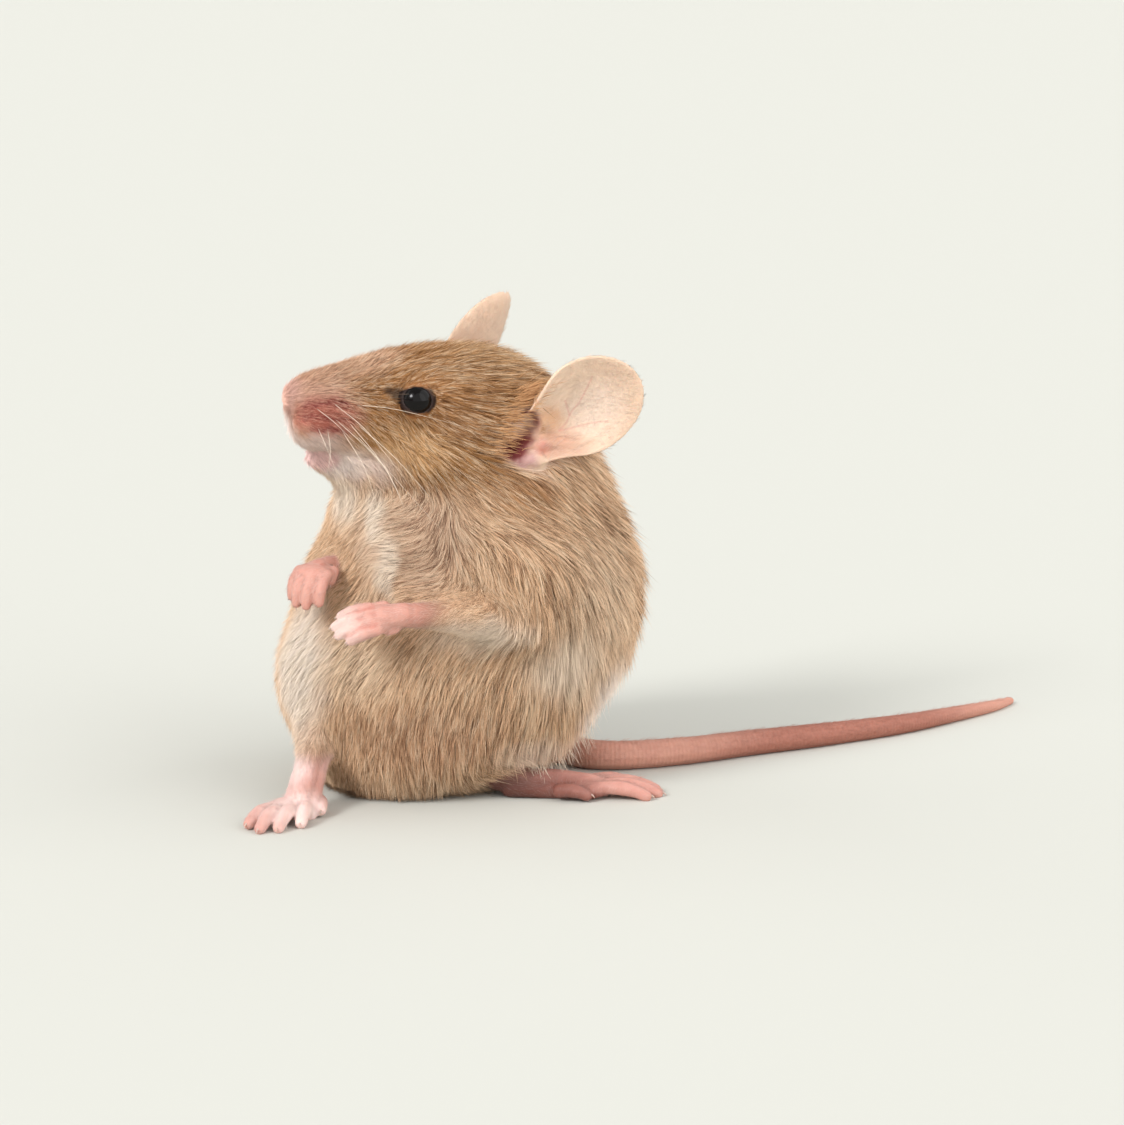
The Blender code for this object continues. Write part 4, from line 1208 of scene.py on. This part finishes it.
def make_coat(skin, ear_tree):
    """The coat as tufts, in pieces by height."""
    chance = np.random.default_rng(7)
    mesh = on_bench(skin)
    places, normals = points_of(mesh), points_of(mesh, "normal")
    shares = {}
    for kind in FLESH_KINDS:
        values = np.zeros(len(places), np.float32)
        mesh.attributes[kind].data.foreach_get("value", values)
        shares[kind] = values.astype(float)
    depth, cover = skin_depths(places, np.maximum.reduce(list(shares.values())))
    length = TUFT_LENGTH[0] + TUFT_LENGTH[1] * depth
    width = TUFT_WIDTH[0] + TUFT_WIDTH[1] * depth
    wanted = cover / (length * width)
    wanted[places[:, 2] < LOWEST_ROOT] = 0

    chosen, parts = scattered(mesh, wanted, TUFTS, chance)
    root, up = blended(places, chosen, parts), unit(blended(normals, chosen, parts))
    depth, length, width = (blended(values, chosen, parts) for values in (depth, length, width))
    kinds = {kind: blended(values, chosen, parts) for kind, values in shares.items()}
    way = combed(root)
    on_tail, on_ear = kinds["tail"][:, None], kinds["ear"][:, None]
    way = way * (1 - on_tail) + along_tail(root)[0] * on_tail
    left = (in_head(root)[:, 1] > 0)[:, None]
    turn = HEAD.to_3x3()
    ear_way = np.where(left, np.array(turn @ Vector(EAR_WAY[0])), np.array(turn @ Vector(EAR_WAY[1])))
    way = tangent(way * (1 - on_ear) + ear_way * on_ear, up)

    # Neighbours share a lock: its swing, its tone and the way that its tips lean together.
    leaders = chance.choice(len(root), len(root) // LOCK_TUFTS, replace=False)
    finder = KDTree(len(leaders) * len(LOCK_STEPS))
    for step in LOCK_STEPS:
        for index, place in enumerate((root[leaders] + way[leaders] * step).tolist()):
            finder.insert(place, index)
    finder.balance()
    lock = leaders[np.array([finder.find(place)[1] for place in root.tolist()])]
    swing = chance.normal(0, HAIR_SWING, len(root)) + chance.normal(0, LOCK_SWING, len(root))[lock]
    swing = np.radians(swing)[:, None]
    way = unit(way * np.cos(swing) + np.cross(up, way) * np.sin(swing))
    tone = chance.random(len(root)) * 0.5 + chance.random(len(root))[lock] * 0.5

    guard = chance.random(len(root)) < GUARD_SHARE
    length = length * chance.uniform(0.65, 1.1, len(root)) * np.where(guard, GUARD_LENGTH, 1.0)
    stand = chance.random(len(root)) * 0.5 + chance.random(len(root))[lock] ** 2 * 1.1
    lift = depth * (0.25 + stand) + np.where(guard, GUARD_LIFT[0] + GUARD_LIFT[1] * depth, 0.0)
    width = width * chance.uniform(0.7, 1.25, len(root)) * np.where(guard, 1.1, 1.0)
    stubble = 1 - ramp(distance(in_head(root), (-3.0, 0.0, 0.0)), 5.0, 10.0)
    stubble *= ramp(in_head(root)[:, 2], -3.0, -1.5)
    lift += STUBBLE_LIFT * stubble * chance.random(len(root)) * (1 - np.maximum.reduce(list(kinds.values())))
    at, up_tip, _ = nearest(tree_of(mesh), root + way * length[:, None])
    tip = at + up_tip * lift[:, None]
    lean = (0.8 * chance.random(len(root)) * ramp(depth, 0.1, 0.3))[:, None]
    aside = tip[lock] - tip
    tip = tip + (aside - way * (aside * way).sum(1)[:, None]) * lean

    beside = np.flatnonzero((kinds["ear"] < 0.5) & (distance(root, HEAD @ Vector((-23.0, 0.0, 2.0))) < 14))
    through = np.zeros(len(root), bool)
    through[beside] = nearest(ear_tree, tip[beside])[2] < TIP_CLEARANCE
    through[beside] |= nearest(ear_tree, (root + tip)[beside] / 2)[2] < MIDDLE_CLEARANCE
    order = np.argsort(root[:, 2])
    order = order[~through[order]]
    coarse = skin_outline(mesh)
    coat = []
    for name, picks in zip(COAT_NAMES, np.array_split(order, len(COAT_NAMES))):
        flat = unwrapped(coarse, root[picks, 2].min(), root[picks, 2].max())
        values = {kind: share[picks] for kind, share in kinds.items()} | {"tone": tone[picks]}
        roots = root[picks] - up[picks] * ROOT_SINK
        corners = on_map(flat, root[picks])
        coat.append(tuft_mesh("coat_" + name, roots, tip[picks], up[picks], width[picks], values, corners))
    return coat


def skin_outline(mesh):
    """A coarse copy of the skin."""
    made = thinned(mesh_object("outline", mesh), OUTLINE_TRIANGLES)
    result = made.data
    bpy.data.objects.remove(made)
    return result


def coat_finish(veins):
    """Hair: the skin's markings, with each tuft and lock lighter or darker and its root in shade."""
    finish = Finish("fur", Roughness=0.6, Specular_IOR_Level=0.25)
    colour = face_markings(finish, coat_markings(finish))
    tone, reach = finish.attribute("tone"), finish.attribute("reach")
    tone = tone + (finish.noise(0.8) - 0.5) * 0.2
    calm = finish.near(*FACE_PLACE, 0.4)
    for centre, radii in PALE_PLACES:
        calm = calm.larger(finish.near(centre, radii, 0.3))
    face = finish.near(*FACE_PLACE, 0.6)
    dark = (1 - finish.range(tone, 0.26, 0.46)) * (1 - calm * 0.85)
    light = finish.range(tone, 0.56, 0.76) * (1 - face * 0.8)
    colour = finish.mix(dark * 0.9, colour, (0.30, 0.24, 0.20), "MULTIPLY")
    colour = finish.mix(light * 0.5, colour, (0.99, 0.80, 0.58))
    rooted = (1 - finish.range(reach, 0.0, 0.7)) * (1 - calm * 0.6) * 0.35
    colour = finish.mix(rooted, colour, (0.50, 0.42, 0.38), "MULTIPLY")
    for side in (1, -1):
        pad = finish.near(HEAD @ Vector((-4.4, 2.9 * side, -0.3)), (4.2, 3.0, 2.4), 0.5)
        stubble = pad * finish.range(reach, 0.35, 0.9) * finish.range(tone, 0.3, 0.7)
        colour = finish.mix(stubble * 0.75, colour, (0.86, 0.47, 0.33))
    flesh = flesh_markings(finish, colour, veins)
    bare = finish.attribute("ear").larger(finish.attribute("foot") * 0.45).larger(finish.attribute("paw"))
    finish.to("Base Color", eye_rims(finish, finish.mix(bare * 0.2, flesh, (0.96, 0.84, 0.76))))
    return finish.material


# -------------------------------------------------------------------------------------------------- studio
CAMERA_PLACE = (9.9, -293.1, 80.75)
CAMERA_DIP = 11.0
FLOOR_HALF = 6.0  # metres
LIGHTS = (  # azimuth and elevation in degrees, strength and width in degrees
    ("key_light", -45, 34, 0.5, 40),
    ("front_light", 22, 8, 1.28, 95),
    ("right_light", 72, 25, 1.6, 80),
    ("left_light", -110, 26, 0.6, 60),
    ("back_light", 150, 50, 0.35, 60),
    ("window_light", -45, 33, 1.85, 18),
)


def studio():
    """The camera, a wide pale floor and soft light."""
    camera = bpy.data.objects.new("camera", bpy.data.cameras.new("camera"))
    camera.data.lens = 100.0
    camera.data.sensor_width = 36.0
    camera.data.sensor_fit = "HORIZONTAL"
    camera.data.clip_start = 0.01
    camera.location = on_model(CAMERA_PLACE)
    camera.rotation_euler = (math.radians(90 - CAMERA_DIP), 0, 0)
    bpy.context.scene.collection.objects.link(camera)
    bpy.context.scene.camera = camera

    floor = bpy.data.meshes.new("floor")
    shape = bmesh.new()
    bmesh.ops.create_grid(shape, x_segments=1, y_segments=1, size=FLOOR_HALF)
    shape.to_mesh(floor)
    shape.free()
    ground = mesh_object("floor", floor)
    grey = (0.62, 0.62, 0.572, 1.0)
    paper = Finish("floor_paper", Roughness=1.0, Base_Color=grey, Specular_IOR_Level=0.0)
    ground.data.materials.append(paper.material)

    world = bpy.data.worlds.new("studio")
    world.use_nodes = True
    background = world.node_tree.nodes["Background"]
    background.inputs["Color"].default_value = (1.0, 1.0, 0.985, 1.0)
    background.inputs["Strength"].default_value = 0.5
    bpy.context.scene.world = world
    for name, azimuth, elevation, strength, angle in LIGHTS:
        lamp = bpy.data.objects.new(name, bpy.data.lights.new(name, "SUN"))
        lamp.data.energy = strength
        lamp.data.angle = math.radians(angle)
        lamp.rotation_euler = (math.radians(90 - elevation), 0, math.radians(azimuth))
        bpy.context.scene.collection.objects.link(lamp)
    bpy.context.scene.view_settings.view_transform = "Standard"


# ------------------------------------------------------------------------------------ claws and long hairs
WHISKERS = (  # on the left, in the head's frame: root, middle and tip
    ((-6.9, 3.2, -1.3), (-10.6, 6.0, -4.4), (-14.4, 7.4, -10.4)),
    ((-6.0, 3.2, -1.5), (-8.4, 5.4, -4.4), (-10.6, 6.4, -9.0)),
    ((-6.6, 3.2, -0.2), (-11.6, 6.6, -3.2), (-18.6, 8.8, -9.4)),
    ((-6.2, 3.2, -0.3), (-10.6, 6.6, -4.4), (-15.4, 8.2, -12.6)),
    ((-4.6, 3.1, -1.5), (-5.0, 4.6, -3.4), (-4.9, 5.2, -5.6)),
    ((-6.4, 3.0, 1.1), (-10.4, 5.8, 1.9), (-16.8, 8.0, 1.6)),
    ((-5.0, 3.0, 0.9), (-8.0, 6.0, -0.6), (-12.4, 9.0, -4.6)),
    ((-5.2, 3.0, -0.5), (-8.8, 6.4, -2.6), (-16.0, 9.8, -8.4)),
    ((-3.6, 3.0, -1.4), (-4.6, 4.8, -3.0), (-6.2, 5.8, -5.8)),
    ((-3.4, 2.8, 0.2), (-5.0, 5.0, -0.4), (-7.6, 6.6, -2.2)),
)
WHISKER_RADIUS = 0.023
EAR_HAIR_RADIUS = 0.032
RUMP_HAIR_RADIUS = 0.024
# The least heights over the floor.
HAIR_CLEARANCE = 0.06
CLAW_CLEARANCE = 0.12


def joined(name, made, frame=None):
    """Several closed tubes as one smooth piece."""
    shape = bmesh.new()
    for each in made:
        shape.from_mesh(each.data)
        bpy.data.objects.remove(each)
    result = from_bmesh(name, shape, TO_MODEL @ (frame or Matrix()))
    result.data.shade_smooth()
    return result


def strand(points, radius):
    """A hair that tapers to its tip."""
    path = smooth_path([Vector((*point, radius * size)) for point, size in zip(points, (1.0, 0.75, 0.15))])
    return bevelled(path, resolution=0)


def whiskers(side):
    name = "whiskers_left" if side > 0 else "whiskers_right"
    lines = [[mirrored(point, side) for point in line] for line in WHISKERS]
    return joined(name, [strand(line, WHISKER_RADIUS) for line in lines], HEAD)


def all_claws(lines):
    """The claws: short curved cones."""
    cones = []
    for line in lines:
        path = [Vector((x, y, max(z, CLAW_CLEARANCE), size)) for (x, y, z), size in zip(line, CLAW_SIZES)]
        cones.append(bevelled(smooth_path(path, 3), resolution=1))
    return joined("claws", cones)


LONG_HAIRS = (  # before the ear: row of roots, spread, way, how many, length, lift
    (on_head((-20.0, 6.4, -1.2), (-20.4, 6.2, 1.4)), 0.6, (-0.95, 0.3, 0.0), 60, 1.7, 0.6),
    (on_head((-20.4, 6.2, 1.2), (-21.6, 6.0, 4.0)), 0.6, (-0.9, 0.3, 0.25), 110, 2.0, 0.8),
    (on_head((-21.6, 6.0, 4.0), (-22.6, 5.4, 6.0)), 0.5, (-0.85, 0.2, 0.45), 160, 2.4, 0.8),
)
RUMP_HAIRS = (((6.8, 2.0, 3.2), (13.0, 8.0, 6.6)), 0.6, (0.35, -0.1, -1.0), 120, 3.2, 0.2)


def long_hairs(name, skin, rows, radius):
    """Single hairs, each bowed away from the skin and back to it."""
    chance = np.random.default_rng(11)
    tree = tree_of(on_bench(skin))
    hairs = []
    for (low, high), spread, way, count, length, lift in rows:
        low, high = np.array(low), np.array(high)
        root = low + (high - low) * chance.random(count)[:, None] + chance.normal(0, spread, (count, 3))
        root, up, _ = nearest(tree, root)
        reach = length * chance.uniform(0.55, 1.1, count)[:, None]
        rise = lift * chance.uniform(0.5, 1.1, count)[:, None]
        way = unit(np.array(way) + chance.normal(0, 0.15, (count, 3)))
        tip = root + way * reach + up * rise
        paths = (root - up * 0.1, root + way * reach * 0.5 + up * rise * 0.8, tip)
        for points in paths:
            points[:, 2] = np.maximum(points[:, 2], HAIR_CLEARANCE)
        hairs += [strand([Vector(p) for p in path], radius) for path in zip(*(p.tolist() for p in paths))]
    return joined(name, hairs)


def piece(made, slot, *nodes):
    """Puts a visible piece on the one body, in place of the nodes that it stands for."""
    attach(made, "root")
    if nodes:
        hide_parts(*nodes)
    return made


def skin_finish(veins):
    """Thin pink skin: the coat's colours darkened where hair covers it, as the hairs' dark undercolour and
    as painted shade deep in the coat, and the bare flesh's own.
    """
    finish = Finish(
        "skin",
        Subsurface_Weight=0.15,
        Subsurface_Scale=0.8 * MM,
        Subsurface_Radius=(1.0, 0.4, 0.25),
        Roughness=0.55,
        Specular_IOR_Level=0.3,
    )
    # The hairs' dark undercolour, and painted shade for the depth among the hairs.
    under = finish.mix(1.0, coat_markings(finish), (0.55, 0.48, 0.44), "MULTIPLY")
    finish.to("Base Color", eye_rims(finish, flesh_markings(finish, face_markings(finish, under), veins)))
    turns = finish.attribute("passed") * (2 * math.pi / TAIL_RING)
    rings = finish.attribute("tail") * turns.maths("SINE", turns)
    finish.bump(finish.noise(7.0, 3.0) + finish.noise(2.2, 2.0) * 2 + rings * 0.35, 0.25, 0.12)
    return finish.material


# -------------------------------------------------------------------------------------------------- making
studio()
skin, ear_tree, claw_lines = make_skin()
veins = ear_veins(ear_tree)
skin.data.materials.append(skin_finish(veins))
FLESH_NODES = [name for name in frame["nodes"] if not name.startswith("eye")]
piece(skin, "coat", *FLESH_NODES)

eye_finish = Finish("eye", Base_Color=(0.003, 0.002, 0.002, 1.0), Roughness=0.05, Specular_IOR_Level=0.2)
for side, name in ((1, "eye_left"), (-1, "eye_right")):
    ball = ellipsoid(mirrored(EYE_PLACE, side), (EYE_RADIUS,) * 3, HEAD, 48)
    ball.data.transform(TO_MODEL)
    ball.data.shade_smooth()
    ball.name = name + "_ball"
    ball.data.materials.append(eye_finish.material)
    piece(ball, "eye", name)

horn = Finish(
    "claw",
    Base_Color=(0.54, 0.40, 0.34, 1.0),
    Roughness=0.6,
    Subsurface_Weight=0.3,
    Subsurface_Scale=0.3 * MM,
)
hair = Finish("long_hair", Base_Color=(0.90, 0.78, 0.63, 1.0), Roughness=0.45)
golden = Finish("ear_hair", Roughness=0.6, Specular_IOR_Level=0.25)
golden.to("Base Color", golden.mix(golden.noise(1.6), (0.44, 0.21, 0.085), (0.86, 0.52, 0.27)))
strands = [(all_claws(claw_lines), horn), *((whiskers(side), hair) for side in (1, -1))]
turn = HEAD.to_3x3()
ear_rows = [(ends, spread, turn @ Vector(way), *rest) for ends, spread, way, *rest in LONG_HAIRS]
strands.append((long_hairs("ear_hair", skin, ear_rows, EAR_HAIR_RADIUS), golden))
strands.append((long_hairs("rump_hair", skin, [RUMP_HAIRS], RUMP_HAIR_RADIUS), hair))
for made, finish in strands:
    made.data.materials.append(finish.material)
    piece(made, "coat")

fur = coat_finish(veins)
for tufts in make_coat(skin, ear_tree):
    tufts.data.materials.append(fur)
    piece(tufts, "coat")
